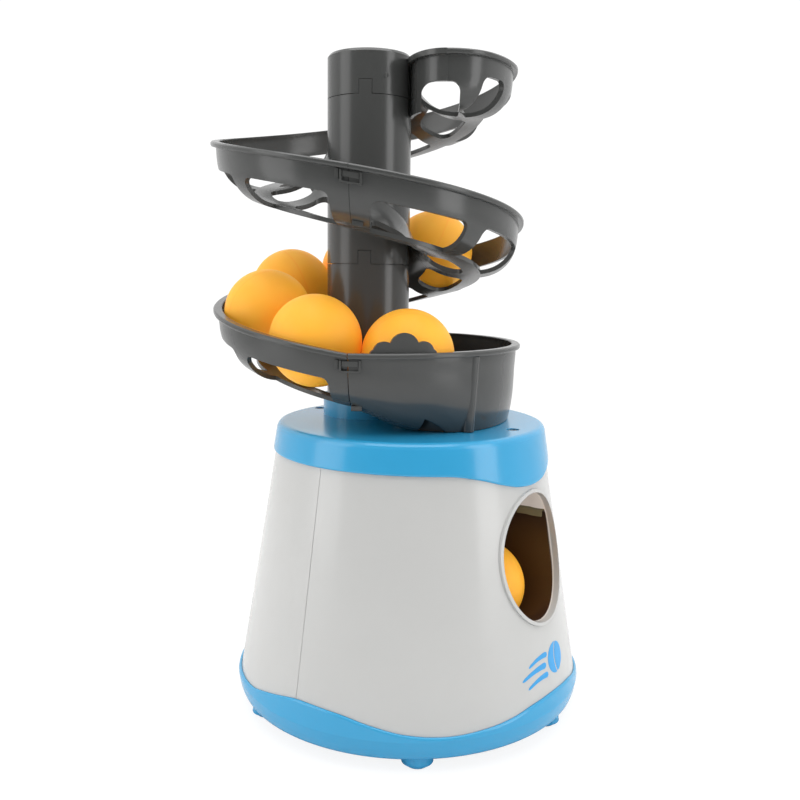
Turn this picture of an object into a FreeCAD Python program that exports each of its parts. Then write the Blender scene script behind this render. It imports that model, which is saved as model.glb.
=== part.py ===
import FreeCAD, Part
import os, math
from FreeCAD import Vector, Placement, Rotation

# Table-tennis ball launcher: a conical housing on a base pan, with a spiral ball track
# round a column above it, a funnel tray, a geared striker and a launch barrel.
# Origin: centre of the base on the ground. +Z up, the launch opening faces -Y.

os.makedirs("parts", exist_ok=True)
doc = FreeCAD.newDocument("ball_launcher")

# ---------------------------------------------------------------- driving dimensions
SIZES = [
    # column and spiral
    ("column_offset", 26.0),        # column axis behind the base axis
    ("column_radius", 19.2),
    ("column_bore_radius", 17.2),
    ("lower_tube_bottom", 131.3),
    ("lower_seam_height", 201.8),
    ("upper_seam_height", 275.7),
    ("column_top_height", 295.1),
    ("seam_gap", 0.25),
    ("track_pitch", 74.0),
    ("rim_start_height", 313.0),    # rim height the helix would have at zero turn
    ("rim_radius", 71.8),           # outside of the lip
    ("wall_radius", 69.5),          # outside of the trough wall
    ("bowl_rim_height", 292.4),
    ("tray_rim_height", 166.0),
    ("ball_radius", 20.0),
    ("ball_track_radius", 47.0),
    ("seam_turn", 355.5),           # turn of the upper seam, in degrees round the column
    # base
    ("cone_radius", 70.1),          # housing radius at the reference height
    ("cone_reference", 68.5),
    ("cone_slope", 0.163),
    ("shell_wall", 2.2),
    ("cap_top_height", 131.0),
    ("cap_plate", 3.0),
    ("skirt_bottom", 5.1),
    ("skirt_bottom_radius", 75.5),
    ("cover_proud", 1.2),           # how far skirt and cap stand out from the cone
    ("floor_top", 8.0),
    ("foot_radius", 6.4),
    ("foot_circle", 69.8),
    ("opening_centre_height", 78.8),
    ("opening_half_width", 23.0),
    ("opening_half_height", 27.3),
    # launch mechanism
    ("launch_tilt", 27.0),
    ("barrel_bore", 21.5),          # radius
    ("barrel_wall", 2.0),
    ("ball_rest_forward", 39.6),
    ("ball_rest_height", 60.0),
    ("drop_forward", 17.8),
    ("drop_radius", 20.9),
    ("barrel_side_height", 92.5),   # top edge of the barrel sides ahead of the drop chute
    ("rod_radius", 4.0),
    ("running_gap", 0.06),
    ("gear_module", 0.5),
    ("gear_width", 2.6),
    ("axle_radius", 1.0),
]


class Dimensions:
    pass


dim = Dimensions()
sheet = doc.addObject("Spreadsheet::Sheet", "sizes")
for row, (alias, value) in enumerate(SIZES, 1):
    sheet.set("A%d" % row, alias)
    sheet.set("B%d" % row, repr(value))
    sheet.setAlias("B%d" % row, alias)
    setattr(dim, alias, value)

DEG = math.pi / 180.0
TURN_ZERO = 217.0                   # a turn of 0 points this way in plan
ORIGIN = Vector(0, 0, 0)
Z_AXIS = Vector(0, 0, 1)
column_y = dim.column_offset
lower_seam, upper_seam = dim.lower_seam_height, dim.upper_seam_height
half_gap = dim.seam_gap / 2
cap_top = dim.cap_top_height
cap_under = cap_top - dim.cap_plate
bowl_rim = dim.bowl_rim_height
tray_rim = dim.tray_rim_height


# ---------------------------------------------------------------- document objects
def placed(base, axis, frame):
    # local +Z turned to the axis and moved to the base, within a frame if one is given
    place = Placement(Vector(*base), Rotation(Z_AXIS, Vector(*axis)))
    return frame.multiply(place) if frame else place


def drive(part, **expressions):
    for key, expression in expressions.items():
        if expression:
            part.setExpression(key, expression)
    return part


def cyl(name, radius, height, base, axis=(0, 0, 1), frame=None, radius_by=None, height_by=None):
    part = doc.addObject("Part::Cylinder", name)
    part.Radius, part.Height = radius, height
    part.Placement = placed(base, axis, frame)
    return drive(part, Radius=radius_by, Height=height_by)


def cyl_x(name, radius, length, x, place_yz, radius_by=None):
    return cyl(name, radius, length, (x,) + tuple(place_yz), (1, 0, 0), radius_by=radius_by)


def column_cyl(name, alias, extra, height, z):
    # on the column axis, its radius a driving dimension plus a little
    return cyl(name, getattr(dim, alias) + extra, height, (0, column_y, z),
               radius_by="sizes.%s + %g" % (alias, extra))


def cone(name, radius_1, radius_2, height, base, axis=(0, 0, 1), frame=None,
         by_1=None, by_2=None):
    part = doc.addObject("Part::Cone", name)
    part.Radius1, part.Radius2, part.Height = radius_1, radius_2, height
    part.Placement = placed(base, axis, frame)
    return drive(part, Radius1=by_1, Radius2=by_2)


def box(name, low, high, frame=None):
    part = doc.addObject("Part::Box", name)
    part.Length, part.Width, part.Height = [b - a for a, b in zip(low, high)]
    part.Placement = placed(low, (0, 0, 1), frame)
    return part


def turned_box(name, size, origin, corner, angle):
    # box turned in plan about the origin point, its corner given before the turn
    part = doc.addObject("Part::Box", name)
    part.Length, part.Width, part.Height = size
    turn = Rotation(Z_AXIS, angle)
    part.Placement = Placement(Vector(*origin) + turn.multVec(Vector(*corner)), turn)
    return part


def fuse(name, *parts):
    part = doc.addObject("Part::MultiFuse", name)
    part.Shapes = list(parts)
    return part


def cut(name, base, *tools):
    # several tools are fused before they cut
    tool = tools[0] if len(tools) == 1 else fuse(name + "_tools", *tools)
    part = doc.addObject("Part::Cut", name)
    part.Base, part.Tool = base, tool
    return part


def common(name, *parts):
    part = doc.addObject("Part::MultiCommon", name)
    part.Shapes = list(parts)
    return part


def shape_feature(name, shape):
    part = doc.addObject("Part::Feature", name)
    part.Label = name
    part.Shape = shape
    part.Placement = Placement()
    return part


def prism_yz(name, points, x0, x1):
    # outline given as (y, z), drawn out along X
    body = doc.addObject("PartDesign::Body", name)
    sketch = body.newObject("Sketcher::SketchObject", name + "_outline")
    plane = [f for f in body.Origin.OriginFeatures if f.Role == "YZ_Plane"][0]
    sketch.AttachmentSupport = [(plane, "")]
    sketch.MapMode = "FlatFace"
    sketch.AttachmentOffset = Placement(Vector(0, 0, x0), Rotation())
    for start, end in zip(points, points[1:] + points[:1]):
        sketch.addGeometry(Part.LineSegment(Vector(*start, 0), Vector(*end, 0)), False)
    pad = body.newObject("PartDesign::Pad", name + "_pad")
    pad.Profile = sketch
    pad.Length = x1 - x0
    doc.recompute()
    return body


pieces = []


def add_piece(label, part):
    part.Label = label
    pieces.append((label, part))
    return part


def piece(build):
    # decorator: builds the piece at once and labels it with the function's name
    return add_piece(build.__name__, build())


# ---------------------------------------------------------------- curves and solids
def polar(turn, radius, z, centre_y=column_y):
    angle = (TURN_ZERO + turn) * DEG
    return Vector(radius * math.cos(angle), centre_y + radius * math.sin(angle), z)


def plan_point(angle, radius):
    # about the base axis, the angle in degrees from +X
    return (radius * math.cos(angle * DEG), radius * math.sin(angle * DEG))


def closed_solid(faces):
    shell = Part.Shell(faces)
    shell.sewShape()
    if not shell.isClosed():
        shell = Part.makeShell(faces)
        shell.sewShape()
    solid = Part.Solid(shell)
    if solid.Volume < 0:
        solid.reverse()
        solid = Part.Solid(solid)
    return solid


def curve(points):
    spline = Part.BSplineCurve()
    spline.interpolate(points)
    return spline.toShape()


def filled(turns, profile, top):
    # A trough filled up to its rim: a smooth surface of interpolated profiles, closed by
    # a lid, a wall inside the column and two flat ends.
    grid = [[polar(turn, r, z) for r, z in profile(turn)] for turn in turns]
    surface = Part.BSplineSurface()
    surface.interpolate(grid)
    u0, u1, v0, v1 = surface.bounds()
    rim = surface.vIso(v0).toShape()
    inner = surface.vIso(v1).toShape()
    inner_radius = profile(turns[0])[-1][0]
    lid_points = [polar(turn, inner_radius, top(turn)) for turn in turns]
    lid = curve(lid_points)
    faces = [surface.toShape(), Part.makeRuledSurface(rim, lid, 1),
             Part.makeRuledSurface(inner, lid, 1)]
    for i, u in ((0, u0), (-1, u1)):
        faces.append(Part.Face(Part.Wire([
            surface.uIso(u).toShape(),
            Part.makeLine(grid[i][-1], lid_points[i]),
            Part.makeLine(lid_points[i], grid[i][0])])))
    return closed_solid(faces)


def bar(turns, corners, centre_y=column_y):
    # A polygonal section carried round by turn; corners(turn) gives (radius, height).
    rows = [[polar(turn, r, z, centre_y) for r, z in corners(turn)] for turn in turns]
    edges = [curve(list(points)) for points in zip(*rows)]
    faces = [Part.makeRuledSurface(a, b, 1) for a, b in zip(edges, edges[1:] + edges[:1])]
    for row in (rows[0], rows[-1]):
        faces.append(Part.Face(Part.makePolygon(row + [row[0]])))
    return closed_solid(faces)


def steps(start, end, step):
    count = max(3, int(round(abs(end - start) / step)))
    return [start + (end - start) * i / count for i in range(count + 1)]


def smooth(table, x):
    # monotone cubic through a table
    if x <= table[0][0]:
        return table[0][1]
    if x >= table[-1][0]:
        return table[-1][1]
    for i in range(len(table) - 1):
        if table[i][0] <= x <= table[i + 1][0]:
            break

    def chord(j):
        return (table[j + 1][1] - table[j][1]) / (table[j + 1][0] - table[j][0])

    def slope(j):
        if j == 0:
            return chord(0)
        if j == len(table) - 1:
            return chord(j - 1)
        before, after = chord(j - 1), chord(j)
        return 0.0 if before * after <= 0 else 2 * before * after / (before + after)

    (x0, y0), (x1, y1) = table[i], table[i + 1]
    span = x1 - x0
    u = (x - x0) / span
    slope_0, slope_1 = slope(i) * span, slope(i + 1) * span
    return ((2 * u**3 - 3 * u**2 + 1) * y0 + (u**3 - 2 * u**2 + u) * slope_0
            + (-2 * u**3 + 3 * u**2) * y1 + (u**3 - u**2) * slope_1)


def offset_outline(table, distance):
    # the same (turn, radius) outline moved outwards
    first, last = table[0][0], table[-1][0]
    count = 120
    points = []
    for i in range(count + 1):
        turn = first + (last - first) * i / count
        radius = smooth(table, turn)
        after, before = min(last, turn + 0.2), max(first, turn - 0.2)
        rate = (smooth(table, after) - smooth(table, before)) / ((after - before) * DEG)
        length = math.hypot(radius, -rate)
        outward = radius + distance * radius / length
        sideways = distance * -rate / length
        points.append((turn + math.atan2(sideways, outward) / DEG,
                       math.hypot(outward, sideways)))
    points.sort()
    spaced = []
    for point in points:
        if not spaced or point[0] - spaced[-1][0] > 0.5:
            spaced.append(point)
    return spaced


# ---------------------------------------------------------------- trough shapes
INNER_RADIUS = 67.9                 # inside of the trough wall at the rim
COLUMN_SIDE = 18.0                  # radius at which the outer section meets the column
INNER_SIDE = 17.4                   # the same for the inner section
TROUGH_DEPTH = 22.4

# trough sections: (radius from the column axis, depth below the rim)
INNER = [(INNER_RADIUS, 0), (67.8, 4), (67.2, 9), (65.6, 14), (62.0, 18.4), (57, 21.2),
         (50, TROUGH_DEPTH), (43, TROUGH_DEPTH), (36.5, 21.2), (30, 18.2), (25, 14),
         (21.4, 9), (INNER_SIDE, 1.6)]
OUTER = [(dim.wall_radius, 0), (69.4, 4), (69.0, 9), (67.5, 14.6), (63.4, 19.8), (57.6, 23),
         (50.2, 24.3), (42.8, 24.3), (35.8, 23.0), (29, 19.9), (23.7, 15.4), (20.4, 10.0),
         (COLUMN_SIDE, 6.0)]

# plan outline of the starting bowl: (turn, rim radius of the inner surface)
BOWL = [(38, 19.0), (41, 26.5), (45, 34.0), (50, 41.0), (58, 49.0), (66, 54.0), (76, 58.0),
        (84, 60.9), (91, 63.4), (99, 65.7), (106, 67.1), (112, INNER_RADIUS)]
# near end of the bowl in plan, as (across, out) from the column axis: the wall leaves the
# side of the column and bows outwards into the outline above
BOWL_END_WALL = [(15.0, -6.5), (18.2, -2.0), (19.9, 2.5), (20.7, 8.0), (22.2, 14.3),
                 (24.6, 19.8), (27.8, 24.1), (31.0, 26.35), (34.4, 27.0)]
OUTSIDE_OFFSET = 1.8                # from an inner outline to the outside of the wall
LIP_OFFSET = 3.9                    # from an inner outline to the outside of the lip
LIP_OVERLAP = 1.3                   # how far the lip reaches into the wall
BOWL_OUTSIDE = offset_outline(BOWL, OUTSIDE_OFFSET)
BOWL_LIP = offset_outline(BOWL, LIP_OFFSET)
BOWL_JOIN = 110                     # turn from which the bowl has the full track radius


def rim_helix(turn):
    return dim.rim_start_height - dim.track_pitch * turn / 360.0


def rim_upper(turn):
    # level round the starting bowl, eased into the helix
    height = rim_helix(turn)
    drop = bowl_rim - height
    ease = 1.6
    if drop <= -ease:
        return bowl_rim
    if drop >= ease:
        return height
    return bowl_rim - (drop + ease) ** 2 / (4 * ease)


def squeeze(section, full, rim, base):
    # section radii drawn in towards the column so that the rim lies at radius rim
    scale = (rim - base) / (full - base)
    return [(base + (r - base) * scale, depth) for r, depth in section]


def upper_inner(turn):
    section = squeeze(INNER, INNER_RADIUS, smooth(BOWL, turn), INNER_SIDE)
    return [(r, rim_upper(turn) - depth) for r, depth in section]


def upper_outer(turn):
    radius = smooth(BOWL_OUTSIDE, turn) if turn < BOWL_JOIN else dim.wall_radius
    section = squeeze(OUTER, dim.wall_radius, min(radius, dim.wall_radius + 0.1), COLUMN_SIDE)
    return [(r, rim_upper(turn) - depth) for r, depth in section]


def lip(turns, inside, outside, rim):
    # bead along a rim; the three functions give radii and height by turn
    def corners(turn):
        r0, r1, z = inside(turn), outside(turn), rim(turn)
        return [(r0, z - 2.3), (r1 - 0.3, z - 2.0), (r1, z - 1.4), (r1, z - 0.4),
                (r1 - 0.6, z + 0.2), (r0, z + 0.2)]
    return bar(turns, corners)


def track(turns, inner_turns, outer, inner, rim, lip_turns, lip_inside, lip_outside):
    trough = filled(turns, outer, rim)
    trough = trough.cut(filled(inner_turns, inner, lambda turn: rim(turn) + 3))
    return trough.fuse(lip(lip_turns, lip_inside, lip_outside, rim))


# ---------------------------------------------------------------- track windows
def rounded(solid, radius, edges):
    # The kernel may refuse these fillets; the window then keeps sharp corners.
    try:
        fillet = solid.makeFillet(radius, edges)
        if fillet.isValid() and fillet.Volume > 0:
            return fillet
    except Exception:
        pass
    return solid


def wall_window(start, end, r0, r1, top, bottom, rounding):
    # sector cut through the trough wall, following the rim, with its upper corners rounded
    solid = bar(steps(start, end, 6), lambda turn: [
        (r0, bottom(turn)), (r1, bottom(turn)), (r1, top(turn)), (r0, top(turn))])

    def upper_corner(edge):
        if len(edge.Vertexes) != 2:
            return False
        p, q = [vertex.Point for vertex in edge.Vertexes]
        reach = abs(math.hypot(p.x, p.y - column_y) - math.hypot(q.x, q.y - column_y))
        return (abs(reach - (r1 - r0)) < 0.01 and abs(p.z - q.z) < 0.01
                and min(abs(max(p.z, q.z) - top(turn)) for turn in (start, end)) < 0.01)
    return rounded(solid, rounding, [e for e in solid.Edges if upper_corner(e)])


def floor_window(start, end, z0, z1):
    # flat-topped sector with rounded vertical edges
    r0, r1 = 27.5, 45.0
    height = z1 - z0
    first = TURN_ZERO + start
    solid = Part.makeCylinder(r1, height, Vector(0, column_y, z0), Z_AXIS,
                              TURN_ZERO + end - first)
    solid = solid.cut(Part.makeCylinder(r0, height + 2, Vector(0, column_y, z0 - 1)))
    solid.rotate(Vector(0, column_y, 0), Z_AXIS, first)
    uprights = [e for e in solid.Edges if isinstance(e.Curve, Part.Line)
                and abs(e.Vertexes[0].Z - e.Vertexes[1].Z) > height * 0.9]
    return rounded(solid, 4.0, uprights)


def windows(first, numbers, rim):
    # eight places to the turn, counted from a seam; wall windows first, then floor windows
    walls, floors = [], []
    for k in numbers:
        start = first + 7 + 44.25 * k
        end = start + 36.25
        walls.append(wall_window(start, end, 52.6, 84, lambda turn: rim(turn) - 12.0,
                                 lambda turn: rim(turn) - 31, 3.5))
        floors.append(floor_window(start + 1.5, end - 1.5, rim(end) - 33, rim(start) - 8))
    return walls + floors


# ---------------------------------------------------------------- near end of the bowl
def across(x, y, z):
    # plan place given across and out from the column axis, out being a turn of 0
    angle = TURN_ZERO * DEG
    return Vector(-x * math.sin(angle) + y * math.cos(angle),
                  column_y + x * math.cos(angle) + y * math.sin(angle), z)


def offset_row(points, distance, z):
    # a plan curve moved to its outer side
    row = []
    last = len(points) - 1
    for i, (x, y) in enumerate(points):
        (xa, ya), (xb, yb) = points[max(0, i - 1)], points[min(last, i + 1)]
        length = math.hypot(xb - xa, yb - ya)
        row.append(across(x - distance * (yb - ya) / length,
                          y + distance * (xb - xa) / length, z))
    return row


def plan_strip(points, near, far, z0, z1):
    # upright strip along a smooth plan curve, between two offsets to its outer side
    inside, outside = offset_row(points, near, z0), offset_row(points, far, z0)
    outline = Part.Wire([curve(inside), Part.makeLine(inside[-1], outside[-1]),
                         curve(outside), Part.makeLine(outside[0], inside[0])])
    return Part.Face(outline).extrude(Vector(0, 0, z1 - z0))


END_WALL_OUTSIDE = 1.7


def beyond_end_wall():
    # everything outside the end wall
    z = bowl_rim - 34
    along = offset_row(BOWL_END_WALL, END_WALL_OUTSIDE, z)[:-1]
    far = [across(31.5, 70, z), across(-70, 70, z), across(-70, -6.5, z)]
    sides = [Part.makeLine(a, b) for a, b in zip([along[-1]] + far, far + [along[0]])]
    return Part.Face(Part.Wire([curve(along)] + sides)).extrude(Vector(0, 0, 40))


def end_window():
    # straight window under the near end of the bowl, its long upper edges rounded
    height = 17.2
    window = Part.makeBox(16.5, 44.0, height)
    window = window.makeFillet(4.0, [
        e for e in window.Edges
        if abs(e.Vertexes[0].Z - height) < 0.01 and abs(e.Vertexes[1].Z - height) < 0.01
        and abs(e.Vertexes[0].X - e.Vertexes[1].X) < 0.01])
    window.translate(Vector(23.4, -53.0, 0))
    window.rotate(ORIGIN, Z_AXIS, TURN_ZERO + 90)
    window.translate(Vector(0, column_y, bowl_rim - 30.0))
    return window


# ---------------------------------------------------------------- spiral track
SEAM = dim.seam_turn
TURN_GAP = 0.12                     # turn left free at each seam


def column_room(seam_height, height):
    # room for the column length that stands above a seam
    return Part.makeCylinder(dim.column_radius + 0.15, height,
                             Vector(0, column_y, seam_height - half_gap))


def upper_track():
    shape = track(
        steps(39.0, 112, 3.2) + steps(112, SEAM, 7.5)[1:],
        steps(40.2, 112, 3.2) + steps(112, SEAM + 4, 7.5)[1:],
        upper_outer, upper_inner, rim_upper, steps(40.5, SEAM, 3.5),
        lambda turn: (smooth(BOWL_OUTSIDE, turn) if turn < BOWL_JOIN
                      else dim.wall_radius) - LIP_OVERLAP,
        lambda turn: smooth(BOWL_LIP, turn) if turn < BOWL_JOIN else dim.rim_radius)
    shape = shape.cut(beyond_end_wall())
    shape = shape.fuse(plan_strip(BOWL_END_WALL, 0.1, END_WALL_OUTSIDE,
                                  bowl_rim - 24.6, bowl_rim - 0.05))
    shape = shape.fuse(plan_strip(BOWL_END_WALL[2:], 0.6, 3.7, bowl_rim - 2.2, bowl_rim + 0.15))
    cutters = windows(SEAM - 360, range(3, 8), rim_upper) + [
        wall_window(65.5, 82, 44, 84, lambda turn: bowl_rim - 9.5,
                    lambda turn: bowl_rim - 34, 4.0),
        wall_window(92, 128, 52.6, 84, lambda turn: rim_upper(turn) - 12,
                    lambda turn: rim_upper(turn) - 34, 3.5),
        floor_window(93, 126, bowl_rim - 40, bowl_rim - 8),
        end_window(), column_room(upper_seam, 40)]
    for cutter in cutters:
        shape = shape.cut(cutter)
    return shape


def helix_half(start, end, numbers):
    # half a turn of plain trough with its windows
    half = track(steps(start, end, 7.5), steps(start - 4, end + 4, 7.5),
                 lambda turn: [(r, rim_helix(turn) - depth) for r, depth in OUTER],
                 lambda turn: [(r, rim_helix(turn) - depth)
                               for r, depth in [(INNER_RADIUS, -3)] + INNER],
                 rim_helix, steps(start, end, 5),
                 lambda turn: dim.wall_radius - LIP_OVERLAP, lambda turn: dim.rim_radius)
    for cutter in windows(SEAM, numbers, rim_helix):
        half = half.cut(cutter)
    return half


def lower_track():
    shape = helix_half(SEAM + TURN_GAP, SEAM + 180, range(4)).fuse(
        helix_half(SEAM + 180, SEAM + 360 - TURN_GAP, range(4, 8)))
    return shape.cut(column_room(lower_seam, 60))


# ---------------------------------------------------------------- column lengths
KEY_TURN = -3.4                     # turn at which the column lengths are keyed
SPIGOT_BORE = 15.2                  # radius


def key_box(name, z0, z1, half_width, r0=14.0):
    return turned_box(name, (24.0 - r0, 2 * half_width, z1 - z0), (0, column_y, z0),
                      (r0, -half_width, 0), TURN_ZERO + KEY_TURN)


def key(z):
    # upright key in the column wall, standing up past a seam
    tag = "key_%d" % int(z)
    return common(tag, key_box(tag + "_bar", z - 3, z + 6.0, 2.8, 15.0),
                  cut(tag + "_wall", column_cyl(tag + "_out", "column_radius", 0, 12, z - 4),
                      column_cyl(tag + "_in", "column_bore_radius", 0, 14, z - 5)))


def notch(tag, z):
    return key_box(tag + "_notch", z - 2, z + 6.2, 3.0)


def spigot(tag, z):
    # slotted sleeve that plugs into the length below, and the web that carries it
    axis_cyl = lambda name, height, base: cyl(name, SPIGOT_BORE, height, (0, column_y, base))
    sleeve = cut(tag + "_spigot",
                 column_cyl(tag + "_spigot_out", "column_bore_radius", -0.2, 14, z - 6),
                 axis_cyl(tag + "_spigot_in", 20, z - 8),
                 key_box(tag + "_spigot_slot", z - 7, z + 6.4, 3.0, 10.0))
    web = cut(tag + "_web",
              column_cyl(tag + "_web_out", "column_bore_radius", 0.5, 2, z + 6.5),
              axis_cyl(tag + "_web_in", 6, z + 4))
    return [sleeve, web]


@piece
def spiral_lower():
    bottom = dim.lower_tube_bottom
    tube = column_cyl("lower_tube_wall", "column_radius", 0, lower_seam - half_gap - bottom,
                      bottom)
    joined = fuse("lower_joined", tube, shape_feature("lower_track", lower_track()))
    bored = cut("lower_bored", joined,
                column_cyl("lower_bore", "column_bore_radius", 0, 120, 120))
    return fuse("spiral_lower", bored, key(lower_seam))


@piece
def spiral_upper():
    tube = column_cyl("upper_tube_wall", "column_radius", 0,
                      upper_seam - lower_seam - dim.seam_gap, lower_seam + half_gap)
    joined = fuse("upper_joined", tube, shape_feature("upper_track", upper_track()))
    bored = cut("upper_bored", joined,
                column_cyl("upper_bore", "column_bore_radius", 0, 120, 190),
                notch("upper", lower_seam))
    return fuse("spiral_upper", bored, *spigot("upper", lower_seam), key(upper_seam))


@piece
def top_ring():
    top, bevel_height, bevel = dim.column_top_height, 1.2, 0.9
    wall = column_cyl("ring_wall", "column_radius", 0,
                      top - upper_seam - half_gap - bevel_height, upper_seam + half_gap)
    edge = cone("ring_top_edge", dim.column_radius, dim.column_radius - bevel, bevel_height,
                (0, column_y, top - bevel_height), by_1="sizes.column_radius",
                by_2="sizes.column_radius - %g" % bevel)
    bored = cut("ring_bored", fuse("ring_joined", wall, edge),
                column_cyl("ring_bore", "column_bore_radius", 0, top - upper_seam - 2.2 + 3,
                           upper_seam - 3),
                notch("ring", upper_seam))
    return fuse("top_ring", bored, *spigot("ring", upper_seam))


# ---------------------------------------------------------------- funnel tray
TRAY_FLOOR = 143.0
TRAY_START = -4.5 + TURN_GAP
TRAY_BEND = 134                     # turn at which the outline starts to close in
# plan outline: (turn, rim radius of the inner surface)
TRAY = [(-20, INNER_RADIUS), (TRAY_BEND, INNER_RADIUS), (142, 67.3), (150, 64.6), (158, 59),
        (165, 51), (171, 41), (176, 28), (180, 19.0)]
# outside of the floor: (turn, factor on the depth of the outer section)
TRAY_DEPTH = [(-4.5, 1.0), (0, 1.09), (5, 1.17), (10, 1.26), (17, 1.37), (24, 1.45),
              (30, 1.56), (38, 1.78), (46, 2.03), (54, 2.2), (190, 2.2)]
# round lobes of the baffle: (across, height, radius)
BAFFLE_LOBES = [(0.0, 168.2, 6.2), (-8.2, 166.3, 4.6), (8.2, 166.3, 4.6),
                (-11.6, 165.2, 2.6), (11.6, 165.2, 2.6)]
BAFFLE_TURN = 14.6
RIB_TURN = 42.8


def tray_offset(distance, start_radius):
    return [(-20, start_radius)] + [
        p for p in offset_outline(TRAY, distance) if p[0] > 125 and p[1] > 30]


TRAY_OUTSIDE = tray_offset(OUTSIDE_OFFSET, dim.wall_radius)
TRAY_LIP = tray_offset(LIP_OFFSET, dim.rim_radius)


def tray_turns(start, end, step):
    return steps(start, TRAY_BEND, 4.5) + steps(TRAY_BEND, end, step)[1:]


def tray_outer(turn):
    section = squeeze(OUTER, dim.wall_radius, smooth(TRAY_OUTSIDE, turn), COLUMN_SIDE)
    factor = smooth(TRAY_DEPTH, turn)
    return [(r, tray_rim - depth * factor) for r, depth in section]


def tray_inner(turn):
    section = squeeze(INNER, INNER_RADIUS, smooth(TRAY, turn), INNER_SIDE)
    factor = (tray_rim - TRAY_FLOOR) / TROUGH_DEPTH
    return [(r, tray_rim - depth * factor) for r, depth in section]


def column_solid(radius, height, z):
    return Part.makeCylinder(radius, height, Vector(0, column_y, z))


def turn_about_column(shape, turn):
    # from the base axes to the column axis, local +X pointing to the turn
    shape.rotate(ORIGIN, Z_AXIS, TURN_ZERO + turn)
    shape.translate(Vector(0, column_y, 0))
    return shape


def underside_hollow():
    hollow = Part.makeCone(62.2, 64.6, 9.4, Vector(0, column_y, 131.4), Z_AXIS, 110)
    hollow = hollow.cut(column_solid(21.3, 20, 125))
    hollow.rotate(Vector(0, column_y, 0), Z_AXIS, TURN_ZERO + 24)
    hollow.translate(Vector(0, 0, -0.3))
    return hollow


def baffle():
    # scalloped baffle on the near rim
    shape = Part.makeBox(20, 27.0, 4.5, Vector(60, -13.5, 160.6))
    for y, z, radius in BAFFLE_LOBES:
        shape = shape.fuse(Part.makeCylinder(radius, 20, Vector(60, y, z), Vector(1, 0, 0)))
    shape = turn_about_column(shape, BAFFLE_TURN)
    return shape.common(column_solid(68.8, 60, 140).cut(column_solid(67.1, 60, 140)))


def outside_rib(below_tray):
    # half-round rib down the outside
    rib = Part.makeCylinder(2.6, tray_rim - 2 - cap_top - 0.3)
    rib.rotate(ORIGIN, Vector(0, 1, 0), 4.2)
    rib.translate(Vector(66.0, 0, cap_top + 0.3))
    rib = turn_about_column(rib, RIB_TURN)
    rib = rib.cut(Part.makeCone(64.2, 67.8, 40, Vector(0, column_y, cap_top), Z_AXIS))
    return rib.cut(below_tray)


@piece
def funnel_tray():
    below_tray = Part.makeBox(300, 300, 60, Vector(-150, -150, cap_top + 0.2 - 60))
    drop_y = -dim.drop_forward
    tray = filled(tray_turns(TRAY_START, 177.5, 2.6), tray_outer, lambda turn: tray_rim)
    tray = tray.cut(below_tray)
    tray = tray.cut(underside_hollow())
    # sleeve round the drop hole, kept inside the tray wall
    sleeve = Part.makeCylinder(dim.drop_radius + 1.8, 10.5, Vector(0, drop_y, cap_top + 0.25))
    tray = tray.fuse(sleeve.common(column_solid(66.0, 30, 125)))
    tray = tray.cut(filled(tray_turns(-10, 176.0, 2.6), tray_inner, lambda turn: tray_rim + 3))
    tray = tray.fuse(lip(tray_turns(TRAY_START, 176.5, 2.2),
                         lambda turn: smooth(TRAY_OUTSIDE, turn) - LIP_OVERLAP,
                         lambda turn: smooth(TRAY_LIP, turn), lambda turn: tray_rim))
    tray = tray.fuse(baffle())
    tray = tray.fuse(outside_rib(below_tray))
    tray = tray.cut(Part.makeCylinder(dim.drop_radius, 60, Vector(0, drop_y, 120)))
    tray = tray.cut(column_solid(dim.column_radius + 0.3, 80, 120))
    tray = tray.cut(column_solid(21.3, 12.0, 130))
    # the cuts may leave loose slivers; the tray is the largest solid
    if len(tray.Solids) > 1:
        tray = sorted(tray.Solids, key=lambda solid: solid.Volume)[-1]
    return shape_feature("funnel_tray", tray)


# ---------------------------------------------------------------- housing outlines
def mirrored_period(half):
    # half a turn of (angle, height), mirrored and repeated all round
    table = [(-a, z) for a, z in reversed(half[1:-1])] + half
    table = [(a + shift, z) for shift in (-360, 0, 360) for a, z in table]
    return lambda angle: smooth(table, (angle + 180.0) % 360.0 - 180.0)


# edge heights round the housing: (angle from the launch direction, height)
skirt_edge = mirrored_period([
    (0, 21.2), (11, 20.4), (19, 18.5), (29, 16.8), (41, 15.8), (46, 16.0), (55, 17.2),
    (64, 19.6), (75.5, 22.6), (88, 23.6), (102, 20.6), (114, 17.4), (123, 16.6),
    (135, 16.0), (145, 16.4), (160, 19.0), (180, 21.0)])
cap_edge = mirrored_period([
    (0, 109.5), (8, 110.1), (16, 112.0), (27, 115.4), (39, 117.6), (57, 118.1),
    (78, 118.3), (110, 118.3), (180, 118.3)])


def cone_r(z):
    return dim.cone_radius + dim.cone_slope * (dim.cone_reference - z)


def taper(name, z0, z1, inside=False, extra=0.0):
    # solid cone on the housing surface, or on the inside of its wall
    def expression(z):
        text = ("sizes.cone_radius + sizes.cone_slope * (sizes.cone_reference - %g) + %g"
                % (z, extra))
        return text + (" - sizes.shell_wall" if inside else "")
    inset = (dim.shell_wall if inside else 0.0) - extra
    return cone(name, cone_r(z0) - inset, cone_r(z1) - inset, z1 - z0, (0, 0, z0),
                by_1=expression(z0), by_2=expression(z1))


def around(section):
    # closed ring in two halves; the section's angle is counted from the launch direction
    halves = [bar([start + 180.0 * i / 60 for i in range(61)],
                  lambda turn: section(turn + TURN_ZERO - 270.0), 0.0) for start in (0, 180)]
    return halves[0].fuse(halves[1])


proud = dim.cover_proud


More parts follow.
